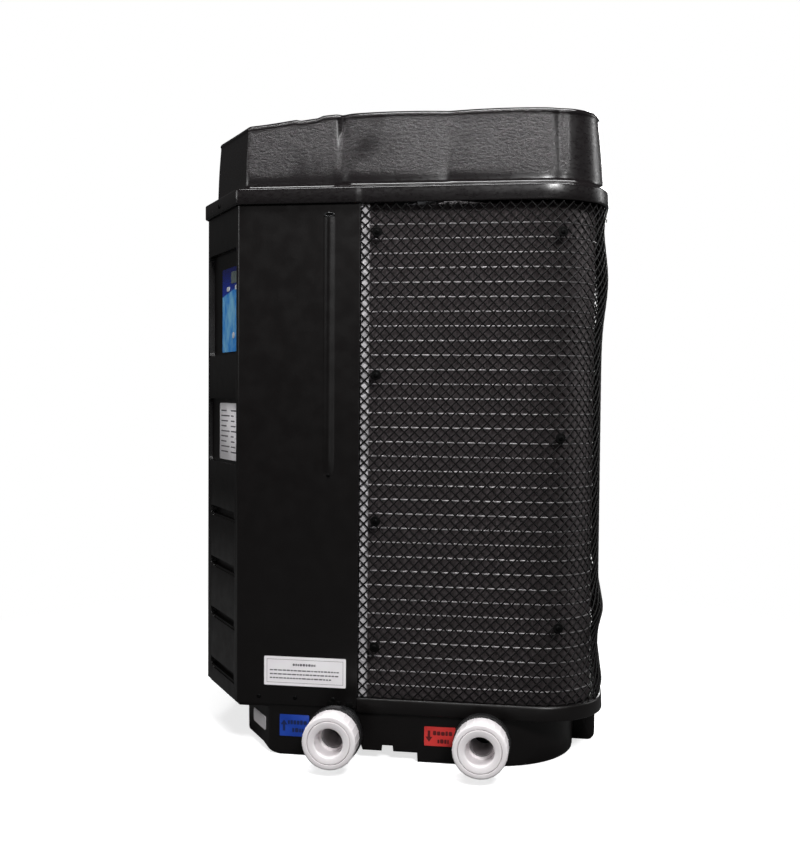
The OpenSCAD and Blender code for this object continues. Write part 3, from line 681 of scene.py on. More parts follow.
def build_cap():
    band = Outline(CABINET, -6 * MM, min_r=8 * MM)
    wall = Outline(CABINET, CAP_INSET, min_r=12 * MM)
    wave = scallops(wall)
    share_of = lobe_share(wall)
    drop = rim_heights(wall)
    band_top = BAND_Z + BAND_H
    net_side = (band.p[:, 0] > SEAM_X) | (band.p[:, 1] > 0)
    net_side &= ~((band.p[:, 1] > 0) & (band.p[:, 0] < SIDE_END_X))
    step = np.where(net_side, 1.6 * MM, 0)
    rings = []

    def band_ring(inset, z):
        rings.append(band.ring(BAND_Z + z * MM, (inset + 6) * MM + step * (inset < 0)))

    def wall_ring(inset, z, share=1.0, lower=0.0, rise=0.0):
        control, lobed = (a + (b - a) * rise for a, b in (CONTROL_TAPER, LOBE_TAPER))
        lean = control + (lobed - control) * share_of
        rings.append(wall.ring(z - drop * lower, inset * MM + lean + wave * share))

    for inset, z in ((-1, 0), (-3.5, 0), (-5.2, 0.6), (-6, 2.4), (-6, 25), (-5, 27.2), (-3, 28)):
        band_ring(inset, z)
    for inset, z, share in ((-6, 1.0, 0.4), (-3.2, 2.6, 0.5), (-1.2, 6, 0.6), (-0.3, 11, 0.7)):
        wall_ring(inset, band_top + z * MM, share, 0, 0)
    steps = 9
    for k in range(steps):
        t = k / (steps - 1)
        z = band_top + 16 * MM + t * (TOP_Z - band_top - 30 * MM)
        wall_ring(0.8 * math.sin(math.pi * t) * -1, z, 0.7 + 0.3 * t, t, t)
    for inset, z in ((0, -12), (0, -9), (-0.9, -8), (-1, -6), (0, -3.6), (1.6, -1.6), (3.8, -0.4), (5.6, 0),
                     (7.6, -0.8), (9.4, -3.4), (9.6, -7), (10, -13)):
        wall_ring(inset, TOP_Z + z * MM, 1, 1, 1)
    wall_ring(14, TOP_Z - 18.5 * MM, 0.8, 0.15, 1)
    wall_ring(26, TOP_Z - 20 * MM, 0.4, 0.05, 1)
    mouth = rings[-1]
    for r, z in ((292, -20.5), (276, -22), (268, -26), (263.5, -34), (262, -60), (262, -134),
                 (266, -137), (266, -60), (270, -34), (292, -26)):
        rings.append(circle_like(mouth, r * MM, TOP_Z + z * MM))
    wall_ring(20, TOP_Z - 26 * MM, 0.6, 0, 1)
    wall_ring(6, TOP_Z - 30 * MM, 0.9, 0.3, 1)
    wall_ring(5, band_top + 8 * MM, 0.6, 0, 0)
    wall_ring(2, band_top - 4.5 * MM, 0.4, 0, 0)
    band_ring(-1, 23.5)
    add_piece("top_cap_shell", loft(rings), "cap_moulding", "top_cap", smooth=50)


# ---- Base -----------------------------------------------------------------------------

PLINTH_FRONT = FRONT + 4 * MM
PLINTH_LEFT = LEFT + 99 * MM
PLINTH = [
    (-208 * MM, PLINTH_FRONT, 16 * MM),
    (RIGHT - 47 * MM, PLINTH_FRONT, 150 * MM),
    (RIGHT - 47 * MM, BACK - 30 * MM, 90 * MM),
    (PLINTH_LEFT, BACK - 30 * MM, 60 * MM),
    (PLINTH_LEFT, PLINTH_FRONT + 103 * MM, 16 * MM),
]


def is_panel_zone(p):
    """True where moulded panels, not netting, stand on the rim."""
    front = (p[:, 1] < 0) & (p[:, 0] < SEAM_X)
    rear = (p[:, 1] >= 0) & (p[:, 0] < SIDE_END_X)
    return front | rear


def plinth_foot(p):
    """Height of the plinth's lower edge at each outline point."""
    x, y = p[:, 0], p[:, 1]
    facing = np.abs(y) > 200 * MM
    z = np.zeros(len(p))
    middle = facing & (x > -60 * MM) & (x < 60 * MM)
    z = np.where(middle, 16 * MM, z)
    z = np.where(facing & (x > -4 * MM) & (x < 16 * MM), 26 * MM, z)
    notch = 32 * MM - np.maximum(0, np.abs(x + 47 * MM) - 3 * MM) * 3
    z = np.where(facing & (np.abs(x + 47 * MM) < 8 * MM), np.maximum(z, notch), z)
    sides = (~facing) & (np.abs(y) < 90 * MM)
    z = np.where(sides, 30 * MM, z)
    near_left = np.maximum(0, -x - 190 * MM) * (y < -200 * MM)
    z = z + np.minimum(10 * MM, near_left * 0.25)
    return z


POST = ((0.5, 0), (28.5, 0), (30, 1.5), (30, 101), (0.5, 101))


def foot_lug(y):
    """A foot outside the plinth wall, 40 mm wide, its outer lower edge well rounded."""
    x0, x1 = RIGHT - 52 * MM, RIGHT - 6 * MM
    top = RIM_TOP - 20 * MM
    r = 15 * MM
    turns = [math.radians(-90 + 90 * k / 8) for k in range(9)]
    curve = [(x1 - r + r * math.cos(a), r + r * math.sin(a)) for a in turns]
    side = [(x0, top), (x0, 0), *curve, (x1, top)]
    rings = []
    for inset, d in ((1.2, 0), (0.3, 0.3), (0, 1.2), (0, 38.8), (0.3, 39.7), (1.2, 40)):
        inset *= MM
        rings.append([(min(x, x1 - inset), y + d * MM, max(z, inset)) for x, z in side])
    return capped(rings)


def build_base():
    rim = Outline(CABINET, -4 * MM, min_r=8 * MM)
    tuck = np.where(is_panel_zone(rim.p), 8.6 * MM, 0)
    rings = []
    profile = ((16, 0), (2, 0), (0.6, 0.8), (0, 2.5), (0.6, 21.5), (1.4, 24.6), (3.4, 26),
               (7, 26), (8, 25), (16, 24))
    for inset, z in profile:
        rings.append(rim.ring(RIM_LOW + z * MM, inset * MM + tuck * (inset < 10)))
    rim_mesh = loft(rings)
    foot = Outline(PLINTH, 0, min_r=10 * MM, spacing=1.5 * MM)
    low = plinth_foot(foot.p)
    rings = [foot.ring(RIM_TOP - 8 * MM), foot.ring(RIM_LOW - 4 * MM)]
    for lift, inset in ((6, 0.8), (1.6, 1.6), (0, 3.4), (0, 6.6), (3, 8)):
        rings.append(foot.ring(low + lift * MM, inset * MM))
    rings.append(foot.ring(RIM_TOP - 8 * MM, 8 * MM))
    plinth_mesh = loft(rings)
    deck = Outline(CABINET, 11 * MM, min_r=6 * MM)
    deck_mesh = capped([deck.ring(RIM_TOP - 13 * MM), deck.ring(RIM_TOP - 6 * MM)])
    parts = [rim_mesh, plinth_mesh, deck_mesh, lathe(in_mm(POST), 48)]
    parts += [foot_lug(-190 * MM), foot_lug(150 * MM)]
    add_piece("base_moulding", join(parts), "black_moulding", "base_pan", smooth=45)


# ---- Moulded panels -------------------------------------------------------------------


def panel_solid(outline, s0, s1, depth_of, z0, z1):
    """A wall that follows the outline from s0 to s1; depth_of gives its depth at a point."""
    inside = np.sort(np.concatenate([[s0, s1], outline.s[(outline.s > s0) & (outline.s < s1)]]))
    p, n = outline.at(inside)
    ring = np.vstack([p, (p + n * depth_of(p)[:, None])[::-1]])
    return capped([raised(ring, z) for z in (z0, z1)])


def slant_cutter(u0, u1, z0, z1, depth, r):
    """A rounded pocket cutter on the control face; millimetres along it."""
    shape = rounded_rect((u1 - u0) * MM, (z1 - z0) * MM, r * MM)
    place = on_slant((u0 + u1) / 2, -6, (z0 + z1) / 2)
    return plate(shape, (depth + 6) * MM, place, 0.0001)


RECESS_U = (10, 185)
KEYPAD_Z = (716, 907)
LABEL_Z = (517, 636)
SLOT_U = (22, 174)
SLOT_Z = [130 + 98 * k for k in range(4)]
SLOT_H = 15
RIB_X = -102 * MM
RIB_Z = (505 * MM, 956 * MM)
RIB_W = 24 * MM
RIB_H = 3 * MM
PANEL_Z_FRONT = (panel_lo.z, panel_hi.z)


def build_service_panel():
    rolled = CABINET[-1:] + CABINET[:-1]
    cabinet = Outline(rolled, 0, spacing=0.02, arc_steps=8)
    s1 = cabinet.s_at_x(SEAM_X - 0.4 * MM)

    def depth_of(p):
        return np.where(p[:, 1] > FRONT + 0.5 * MM, 15.5 * MM, 4 * MM)

    mesh = panel_solid(cabinet, 1.2 * MM, s1, depth_of, *PANEL_Z_FRONT)
    obj = add_piece("service_panel_shell", mesh, "black_moulding", "service_panel", smooth=35)
    cutters = [
        slant_cutter(*RECESS_U, *KEYPAD_Z, 10, 8),
        slant_cutter(*RECESS_U, *LABEL_Z, 6, 8),
    ]
    for z in SLOT_Z:
        cutters.append(slant_cutter(*SLOT_U, z - SLOT_H / 2, z + SLOT_H / 2, 12, 3))
        cutters.append(slant_cutter(SLOT_U[0] + 14, SLOT_U[1] + 4, z - SLOT_H / 2 - 4,
                                    z - SLOT_H / 2 + 4, 3, 2))
    boolean(obj, cutters)
    round_edges(obj)


def build_rib():
    """The soft bead down the front panel, widest along its crown, with its lower end faded."""
    across = np.linspace(-1, 1, 17)
    rings = []
    for t in np.linspace(0, 1, 40):
        z = RIB_Z[0] + t * (RIB_Z[1] - RIB_Z[0])
        fade = smoothstep(t, 0, 0.05)
        ring = [(RIB_X + RIB_W / 2, FRONT + 1 * MM, z), (RIB_X - RIB_W / 2, FRONT + 1 * MM, z)]
        for c in across:
            crown = (0.5 + 0.5 * math.cos(math.pi * c)) * fade
            ring.append((RIB_X + c * RIB_W / 2, FRONT + 0.1 * MM - RIB_H * crown, z))
        rings.append(np.array(ring))
    add_piece("front_rib", capped(rings), "black_moulding", smooth=50)
    a = np.linspace(0, 2 * math.pi, 33)[:-1]
    lip = [(RIB_X + 8.5 * MM * math.cos(t), FRONT - 1.6 * MM, RIB_Z[1] + (3.4 + 3.2 * math.sin(t)) * MM)
           for t in a]
    brow = loop_bar(lip, 1.1 * MM)
    add_piece("rib_mouth", brow, "black_pvc", smooth=60)
    # Painted shade: a black disc inside the mouth stands for the dark inside of a hole that is not cut.
    shape = [(8 * MM * math.cos(t), 3 * MM * math.sin(t)) for t in a]
    place = on_front(RIB_X, FRONT - 1.2 * MM, RIB_Z[1] + 3.4 * MM)
    add_piece("rib_hole_painted_shade", plate(shape, 1.4 * MM, place, 0.2 * MM), "black_fastener")


def loop_bar(points, r):
    """A round bar along a closed loop of points."""
    p = np.array(points)
    along = unit(np.roll(p, -1, axis=0) - np.roll(p, 1, axis=0))
    out = np.cross(along, (0, -1.0, 0))
    return loft(around(p, out * r, np.cross(out, along) * r, 8))


def build_side_panel():
    cabinet = Outline(CABINET, 0, spacing=0.02, arc_steps=20)
    left = (cabinet.n[:, 0] > 0.99) & (cabinet.p[:, 0] < 0)
    s0 = cabinet.s_at_x(SIDE_END_X, front=False)
    s1 = cabinet.s[left].max() - 2 * MM

    def depth_of(p):
        return np.full(len(p), 4 * MM)

    mesh = panel_solid(cabinet, s0, s1, depth_of, *PANEL_Z)
    obj = add_piece("side_panel_shell", mesh, "black_moulding", "side_panel", smooth=35)
    gland_lo, gland_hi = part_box("cable_gland")
    centre = (gland_lo + gland_hi) / 2
    hole = in_mm([(1, -20), (14.1, -20), (14.1, 20), (1, 20)])
    boolean(obj, [lathe(hole, 48, (LEFT, centre.y, centre.z), (1, 0, 0))])
    shape = rounded_rect(60 * MM, 700 * MM, 29 * MM, 10)
    turn = Matrix.Rotation(-math.pi / 2, 4, "Z")
    ribs = []
    for y in (-60 * MM, 60 * MM, 180 * MM):
        place = Matrix.Translation((LEFT - 2.5 * MM, y, 540 * MM)) @ turn
        ribs.append(plate(shape, 4 * MM, place, 2.2 * MM))
    boolean(obj, ribs, "UNION")
    round_edges(obj)


# ---- Netting --------------------------------------------------------------------------

MESH_SIDE = 12.7 * MM
STRAND_W = 1.4 * MM
STRAND_T = 1.3 * MM


def islands(node):
    """Centre of each separate solid in a CAD node."""
    bm = bmesh.new()
    bm.from_mesh(frame["nodes"][node].data)
    bmesh.ops.remove_doubles(bm, verts=bm.verts, dist=1e-6)
    seen, out = set(), []
    for v in bm.verts:
        if v.index in seen:
            continue
        stack, group = [v], []
        seen.add(v.index)
        while stack:
            w = stack.pop()
            group.append(w.co.copy())
            for e in w.link_edges:
                o = e.other_vert(w)
                if o.index not in seen:
                    seen.add(o.index)
                    stack.append(o)
        co = np.array(group)
        out.append((co.min(0) + co.max(0)) / 2)
    bm.free()
    return out


def screw_spots(outline):
    """Distance along the outline and height of each netting screw."""
    return [(outline.s[outline.nearest(c)], c[2]) for c in islands("guard_washers")]


def bump_at(z, centre, width):
    return np.exp(-(((z - centre) / width) ** 2))


def slack(s, z, normal, spots, start, end, z0, z1):
    """How far the netting stands out from its outline: level at the screws and edges.

    Round the side it is drawn in between three bulges; on the front it sags a little.
    """
    free = np.full(len(s), 1.0)
    for a, b in spots:
        d2 = ((s - a) / 0.05) ** 2 + ((z - b) / 0.04) ** 2
        free = free * (1 - np.exp(-d2))
    edges = smoothstep(z - z0, 0, 0.03) * smoothstep(z1 - z, 0, 0.05)
    ends = smoothstep(s - start, 0, 0.08) * smoothstep(end - s, 0, 0.08)
    bulges = bump_at(z, 0.85, 0.07) + 0.9 * bump_at(z, 0.268, 0.03) + 0.9 * bump_at(z, 0.13, 0.035)
    side = DRAW_IN + BOW * 2 * bulges
    front = BOW * (0.3 + 0.25 * np.sin(z * 11 + 1.3 * np.sin(s * 7)))
    turned = smoothstep(np.abs(normal[:, 0]), 0.3, 0.9)
    return edges * ends * (front * free * (1 - turned) + side * turned)


BOW = 5 * MM
DRAW_IN = -5 * MM


def build_netting():
    outline = Outline(CABINET, 1.7 * MM, spacing=0.004, arc_steps=60)
    start = outline.s_at_x(SEAM_X + 1 * MM)
    end = outline.s_at_x(SIDE_END_X + 1 * MM, front=False)
    z0, z1 = guard_lo.z + 1 * MM, guard_hi.z - 1 * MM
    spots = screw_spots(outline)
    pitch = MESH_SIDE * math.sqrt(2)
    seg = MESH_SIDE / math.sqrt(2) * 0.5
    strands = []
    height, width = z1 - z0, end - start
    for slope in (1, -1):
        lift = STRAND_T * 0.55 * slope
        count = int((height + width) / pitch) + 1
        for k in range(count):
            c = (k + 0.5) * pitch - (height if slope > 0 else 0)
            lo = max(0.0, -c) if slope > 0 else max(0.0, c - width)
            hi = min(height, width - c) if slope > 0 else min(height, c)
            if hi - lo < 4 * MM:
                continue
            steps = max(2, int((hi - lo) / seg))
            h = np.linspace(lo, hi, steps)
            s = start + c + slope * h
            z = z0 + h
            p, n = outline.at(s)
            out = slack(s, z, n, spots, start, end, z0, z1) + lift
            centre = raised(p - n * out[:, None], z)
            normal = raised(-n, 0)
            side = np.cross(unit(np.gradient(centre, axis=0)), normal)
            strands.append(around(centre, side * STRAND_W, normal * STRAND_T, 6))
    add_piece("coil_netting", open_tubes(strands), "guard_net", "coil_guard", smooth=70)


# ---- Coil behind the netting -----------------------------------------------------------

FIN_PITCH = 2.4 * MM
FIN_DEPTH = 36 * MM
FOLD = 1.1 * MM
TUBE_PITCH = 25.4 * MM
TUBE_R = 1.4 * MM
COIL_OUT = 18 * MM


def build_coil():
    """The fins and the tube rows, over the CAD fins' span along the coil's outer face."""
    lo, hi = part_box("coil_fins")
    face = Outline(CABINET, COIL_OUT + 0.4 * MM, spacing=0.004, arc_steps=40)
    rear_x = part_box("coil_end_plate_rear")[1].x + 1 * MM
    start, end = face.s_at_x(lo.x), face.s_at_x(rear_x, front=False)
    build_fin_block(face, start, end, lo, hi)
    build_tube_rows(start, end, lo, hi)


def build_fin_block(face, start, end, lo, hi):
    """The fin stack as one sheet folded at every fin, closed behind."""
    count = int((end - start) / FIN_PITCH) * 2
    s = np.linspace(start + 1 * MM, end - 1 * MM, count)
    p, n = face.at(s)
    fold = np.where(np.arange(count) % 2 == 0, 0, FOLD)
    levels = np.append(np.arange(lo.z - 11 * MM, hi.z, TUBE_PITCH), hi.z + 6 * MM)
    rings = []
    for z in levels:
        wobble = RNG.normal(0, 0.12 * MM, count)
        front = p + n * (fold + np.abs(wobble))[:, None]
        back = p + n * FIN_DEPTH
        ring = np.vstack([front, back[::-1]])
        rings.append(raised(ring, z))
    size = len(rings[0])
    faces = loft_faces(size, len(rings))
    verts = np.vstack(rings)
    for base, flip in ((0, True), ((len(rings) - 1) * size, False)):
        for i in range(count - 1):
            cap = (base + i, base + i + 1, base + size - 2 - i, base + size - 1 - i)
            faces.append(tuple(reversed(cap)) if flip else cap)
    add_piece("coil_fin_stack", build_mesh(verts, faces), "coil_metal", "coil_fins", smooth=20)


def build_tube_rows(start, end, lo, hi):
    """The bright edge of each tube row, standing just proud of the fins."""
    row = Outline(CABINET, COIL_OUT + 0.6 * MM, spacing=0.02, arc_steps=24)
    keep = (row.s > start) & (row.s < end)
    p, n = row.at(np.concatenate([[start], row.s[keep], [end - 2 * MM]]))
    inward_r = raised(n, 0) * TUBE_R
    tubes = []
    for z in np.arange(lo.z + 12 * MM, hi.z - 6 * MM, TUBE_PITCH):
        tubes.append(around(raised(p, z), inward_r, np.array([0, 0, TUBE_R]), 8))
    add_piece("coil_tube_rows", open_tubes(tubes), "tube_rows", smooth=70)


# ---- Fasteners ------------------------------------------------------------------------


def screw_mesh(r, h):
    """Pan head with a cross recess, head up along +Z, seated at z = 0."""
    profile = [(0.0005, -0.5 * h), (r * 0.98, -0.5 * h), (r, 0.1 * h), (r * 0.93, 0.45 * h),
               (r * 0.7, 0.8 * h), (r * 0.35, 0.97 * h), (0.0005, h)]
    arm = r * 0.62
    cutters = [round_box((-arm, -r * 0.12, h * 0.45), (arm, r * 0.12, h * 1.5), r * 0.04, 1),
               round_box((-r * 0.12, -arm, h * 0.45), (r * 0.12, arm, h * 1.5), r * 0.04, 1)]
    return carve(lathe(profile, 32), cutters)


def place_copies(mesh, places):
    """One mesh made of copies of mesh at places, each (centre, outward direction, turn)."""
    bm = bmesh.new()
    for centre, outward, turn in places:
        copy = mesh.copy()
        rot = Vector((0, 0, 1)).rotation_difference(Vector(outward)).to_matrix().to_4x4()
        copy.transform(Matrix.Translation(centre) @ rot @ Matrix.Rotation(turn, 4, "Z"))
        bm.from_mesh(copy)
        bpy.data.meshes.remove(copy)
    out = bpy.data.meshes.new("piece")
    bm.to_mesh(out)
    bm.free()
    return out


def outward_at(p):
    """Outward horizontal direction of the cabinet's face nearest to p."""
    n = DENSE.n[DENSE.nearest(p)]
    return Vector((-n[0], -n[1], 0))


DENSE = Outline(CABINET, 0, spacing=0.003, arc_steps=60)


def surface_point(c):
    """The cabinet's outer surface point nearest to c, at c's height."""
    q = DENSE.p[DENSE.nearest(c)]
    return Vector((q[0], q[1], c[2]))


WASHER = [(2.6, 0), (8.6, 0), (9, 0.4), (8.6, 1.1), (5, 1.5), (2.6, 1.3)]


def build_fasteners():
    """Copies of a screw or washer where the CAD has each one, turned at random."""
    washer = lathe(in_mm(WASHER), 40)
    rows = [
        ("netting_screws", screw_mesh(4.6 * MM, 2.6 * MM), "guard_screws", "guard_washers", 2.6, None),
        ("netting_washers", washer, "guard_washers", "guard_washers", 1.0, None),
        ("band_screws", screw_mesh(4.4 * MM, 2.4 * MM), "cap_screws", "cap_screws", 6.1, None),
        ("panel_bolts", screw_mesh(4.2 * MM, 2.2 * MM), "panel_screws", "panel_screws", 0.1,
         "bright_steel"),
    ]
    for name, mesh, node, places, lift, slot in rows:
        spots = []
        for c in islands(places):
            out = outward_at(c)
            turn = 0 if mesh is washer else RNG.uniform(0, 3)
            spots.append((surface_point(c) + out * lift * MM, out, turn))
        add_piece(name, place_copies(mesh, spots), "black_fastener", node)


# ---- Unions ---------------------------------------------------------------------------


HUB = [(35.6, 0.0), (36.4, 0.9), (36.4, 8.3), (40.8, 8.3), (40.8, 14), (30, 14), (30, 41.4),
       (29.4, 42), (21, 42), (20.4, 41.4), (20.4, 38.8), (20.9, 38.1), (24.3, 38), (24.3, 2.2),
       (24.9, 0.8), (26.2, 0.0)]
NUT = [(37.2, 0.9), (38, 0.1), (42.6, 0.0), (44.6, 0.5), (45.7, 1.8), (46, 3.6), (46, 37.6),
       (45.2, 39.4), (43.6, 40), (42.2, 40), (41.3, 39), (41.3, 8), (37.2, 8)]
LINER = [(19.4, 43.2), (20.3, 43.2), (20.3, 121.6), (19.4, 121.6)]


def grip(a, r, _):
    """24 fine ribs round the nut's widest part."""
    ribs = 0.7 * MM * np.maximum(0, np.cos(a * 24)) ** 8
    return ribs if r >= 45.9 * MM else np.zeros(len(a))


def build_union(side):
    """White nut with its lip and grip ribs, and the white tailpiece it clamps."""
    lo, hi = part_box(f"{side}_union_nut")
    place = ((lo.x + hi.x) / 2, lo.y, (lo.z + hi.z) / 2), (0, 1, 0)
    rows = [
        ("white_tail", HUB, 180, None, "white_pvc", f"{side}_tailpiece", f"{side}_tail"),
        ("white_nut", NUT, 384, grip, "white_pvc", f"{side}_union_nut", f"{side}_nut"),
        ("bore_liner", LINER, 96, None, "grey_pvc", None, BODY),
    ]
    for name, profile, segments, ribs, look, node, body in rows:
        mesh = lathe(in_mm(profile), segments, *place, ribs)
        add_piece(f"{side}_{name}", mesh, look, node, body=body, smooth=42)


# ---- Control face, labels -------------------------------------------------------------


def slant_plate(name, node, look, r, size=None, body=BODY, edge=0.3, proud=0.3):
    """A plate on the control face, over the CAD node's own range or size round its middle."""
    lo, hi = slant_uz(node)
    u, z = (lo[0] + hi[0]) / 2, (lo[2] + hi[2]) / 2
    w, h = size or (hi - lo)[[0, 2]]
    front = lo[1] - proud
    mesh = plate(rounded_rect(w * MM, h * MM, r * MM, 8), (hi[1] - front) * MM,
                 on_slant(u, front, z), edge * MM)
    add_piece(name, mesh, look, node, body=body)


def slant_uz(node):
    """Range of a node along the control face (u) and in height, in millimetres."""
    back = SLANT.inverted()
    co = np.array([back @ v.co for v in frame["nodes"][node].data.vertices]) / MM
    return co.min(0), co.max(0)


def bars(name, place_of, rows, look):
    """Short printed bars, each (u0, u1, z0, z1), a hair proud of a label."""
    meshes = []
    for u0, u1, z0, z1 in rows:
        shape = rounded_rect((u1 - u0) * MM, (z1 - z0) * MM, min(u1 - u0, z1 - z0) * 0.3 * MM, 3)
        meshes.append(plate(shape, 0.12 * MM, place_of((u0 + u1) / 2, (z0 + z1) / 2), 0.03 * MM))
    add_piece(name, join(meshes), look)


def build_control_face():
    slant_plate("keypad_overlay", "keypad", "keypad_film", 4)
    slant_plate("display_glass", "display_window", "display_lens", 2, proud=0.4)
    for key, w, h in (("up_key", 16, 9), ("down_key", 16, 9), ("power_key", 12, 12)):
        slant_plate(f"{key}_top", key, "key_white", h / 2 - 0.1, (w, h), key, 0.7)
    slant_plate("rating_film", "rating_label", "label_white", 3, proud=0)
    lo, hi = slant_uz("rating_label")
    rows = []
    for k in range(9):
        z = hi[2] - 14 - k * 9.5
        rows.append((lo[0] + 10, lo[0] + 44 + 10 * (k * 5 % 3), z - 1.2, z + 1.2))
        rows.append((lo[0] + 72, hi[0] - 12 - 6 * (k * 7 % 4), z - 1.2, z + 1.2))
    bars("rating_rows", lambda u, z: on_slant(u, lo[1] - 0.1, z), rows, "ink")


def dashes(u0, u1, z, half, longest):
    """One printed line as word-like dashes: (u0, u1, z0, z1) each."""
    out = []
    u = u0
    while u < u1:
        w = longest * RNG.uniform(0.45, 1.0)
        out.append((u, min(u + w, u1), z - half, z + half * RNG.uniform(0.7, 1.0)))
        u += w + 1.1
    return out


def film(name, node, look, size, r, depth, place):
    """A thin label of size, with rounded corners, in place of its CAD node."""
    shape = rounded_rect(*size, r * MM, 6 if r < 2 else 8)
    add_piece(name, plate(shape, depth * MM, place, 0.1 * MM), look, node)


def build_notice():
    lo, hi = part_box("notice_label")
    x, y, z = (lo.x + hi.x) / 2, lo.y, (lo.z + hi.z) / 2
    w, h = hi.x - lo.x, hi.z - lo.z
    film("notice_film", "notice_label", "label_white", (w, h), 2, 0.4, on_front(x, y, z))
    right, top, line = w / MM / 2 - 5, h / MM / 2 - 5, 0.5
    rows = [(-right, right, top - line, top), (-right, right, -top, line - top),
            (-right, line - right, -top, top), (right - line, right, -top, top)]
    rows.extend(dashes(-22, 20, 12, 2.2, 5.5))
    for k in range(3):
        rows.extend(dashes(-64, 62 - 14 * (k == 2), 1.5 - 7 * k, 1.2, 8))
    bars("notice_rows", lambda u, v: on_front(x + u * MM, y - 0.08 * MM, z + v * MM), rows,
         "ink")


ARROW = [(-0.22, -1), (0.22, -1), (0.22, 0.1), (0.62, 0.1), (0, 1), (-0.62, 0.1), (-0.22, 0.1)]


def build_water_label(node, name, slot, ink, inward_flow):
    """A label with a plain arrow, up into the unit or down out of it, and two dashed lines."""
    lo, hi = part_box(node)
    mid = (lo + hi) / 2
    film(name, node, slot, (hi.x - lo.x, hi.z - lo.z), 1.5, 0.4, on_front(mid.x, lo.y, mid.z))
    flip = 1 if inward_flow else -1
    arrow = [(u * 10 * MM, v * 10 * MM * flip) for u, v in ARROW][::flip]
    place = on_front(mid.x - 19 * MM, lo.y - 0.1 * MM, mid.z)
    add_piece(name + "_arrow", plate(arrow, 0.14 * MM, place, 0.02 * MM), ink, smooth=30)
    rows = dashes(-8, 27, 6, 4, 7) + dashes(0, 20, -8, 4, 7)
    bars(name + "_rows", lambda u, z: on_front(mid.x + (u - 4) * MM, lo.y - 0.1 * MM, mid.z + z * MM),
         rows, ink)


def build_base_label():
    lo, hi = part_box("base_label")
    d = hi - lo
    turn = Matrix.Rotation(-math.atan2(d.y, d.x), 4, "Z")
    out = turn @ Vector((0, -1, 0))
    place = Matrix.Translation((lo + hi) / 2 + out * 0.3 * MM) @ turn
    film("base_film", "base_label", "label_white", (math.hypot(d.x, d.y), d.z), 5, 0.45, place)


# ---- Seam hardware --------------------------------------------------------------------


def build_seam_hardware():
    """Clips and screw heads below the panel, next to the seam."""
    meshes = []
    for x0, x1, z0, z1 in ((-101, -89, 93.5, 102.5), (-84, -77, 95.5, 102.5), (-68, -56, 93, 101)):
        a = (x0 * MM, FRONT - 1.6 * MM, z0 * MM)
        b = (x1 * MM, FRONT + 1 * MM, z1 * MM)
        meshes.append(round_box(a, b, 0.8 * MM))
    add_piece("seam_clips", join(meshes), "black_fastener")
    spots = [(Vector((RIB_X, FRONT - 0.4 * MM, RIB_Z[0] - 2 * MM)), (0, -1, 0), 0.3)]
    add_piece("rib_button", place_copies(screw_mesh(3.4 * MM, 1.6 * MM), spots), "black_fastener")


# ---- Fan, guard and motor --------------------------------------------------------------

BLADES = 4


def bar_along(points, r):
    """A round bar through points, with closed ends."""
    p = np.array(points, float)
    along = unit(np.gradient(p, axis=0))
    side = unit(np.cross(along, (0, 0, 1.0)))
    return open_tubes([around(p, side * r, np.cross(side, along) * r, 10)])


def build_fan_guard():
    lo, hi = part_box("fan_guard")
    z = lo.z + 2 * MM
    parts = []
    for r in range(83, 284, 25):
        wire = around(np.array([r * MM, z]), np.array([2 * MM, 0]), np.array([0, 2 * MM]), 10)
        parts.append(lathe(wire, 128))
    for a in np.arange(8) * math.pi / 4:
        reach = np.linspace(66 * MM, hi.x - 3 * MM, 14)
        arm = [(r * math.cos(a), r * math.sin(a), z + 3.4 * MM) for r in reach]
        parts.append(bar_along(arm, 2 * MM))
    disc = [(0.5, 2.5), (76, 2.5), (80, 3.5), (80, 5), (77, 5.9), (30, 6.3), (0.5, 6.5)]
    hole = in_mm([(0.1, -10), (3.3, -10), (3.3, 20), (0.1, 20)])
    cutters = []
    for k in range(4):
        a = math.pi / 4 + k * math.pi / 2
        cutters.append(lathe(hole, 24, (58 * MM * math.cos(a), 58 * MM * math.sin(a), lo.z)))
    parts.append(carve(lathe([(r * MM, lo.z + h * MM) for r, h in disc]), cutters))
    add_piece("wire_guard", join(parts), "coated_wire", "fan_guard", smooth=50)


def blade_mesh(turn):
    """One swept, twisted blade: pitch falls from root to tip and the leading edge curls."""
    lo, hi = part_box("fan_blades")
    mid = (lo.z + hi.z) / 2
    rings = []
    for r in np.linspace(40 * MM, 244 * MM, 16):
        f = (r - 40 * MM) / (204 * MM)
        pitch = math.radians(30 - 12 * f)
        sweep = 0.10 + 0.34 * f * f
        chord = (104 + 40 * math.sin(math.pi * min(1, f * 1.05)) - 18 * f) * MM
        ring = []
        for side in (1, -1):
            for t in np.linspace(-0.5, 0.5, 13)[::side]:
                camber = 7 * MM * (1 - 4 * t * t)
                thick = (0.5 + 1.1 * (1 - 4 * t * t) ** 0.5) * MM
                arc = t * chord * math.cos(pitch) / r
                z = mid + t * chord * math.sin(pitch) + camber * math.cos(pitch) + side * thick
                a = turn + sweep + arc
                ring.append((r * math.cos(a), r * math.sin(a), min(max(z, lo.z), hi.z)))
        rings.append(np.array(ring))
    return capped(rings)


def build_fan():
    lo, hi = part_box("fan_blades")
    shaft_lo, shaft_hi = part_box("fan_shaft")
    mid = (lo.z + hi.z) / 2
    r = (shaft_hi.x - shaft_lo.x) / 2 / MM
    parts = [blade_mesh(k * 2 * math.pi / BLADES) for k in range(BLADES)]
    hub = [(r, -16), (r + 8, -17), (44, -17), (47, -15), (48, -12), (48, 13), (46, 17), (42, 19),
           (40, 16), (34, 4), (16, 4), (14, 18), (r + 2, 19), (r, 18)]
    parts.append(lathe(in_mm(hub), 96, (0, 0, mid)))
    add_piece("fan_wheel", join(parts), "fan_plastic", "fan_blades", body="fan")


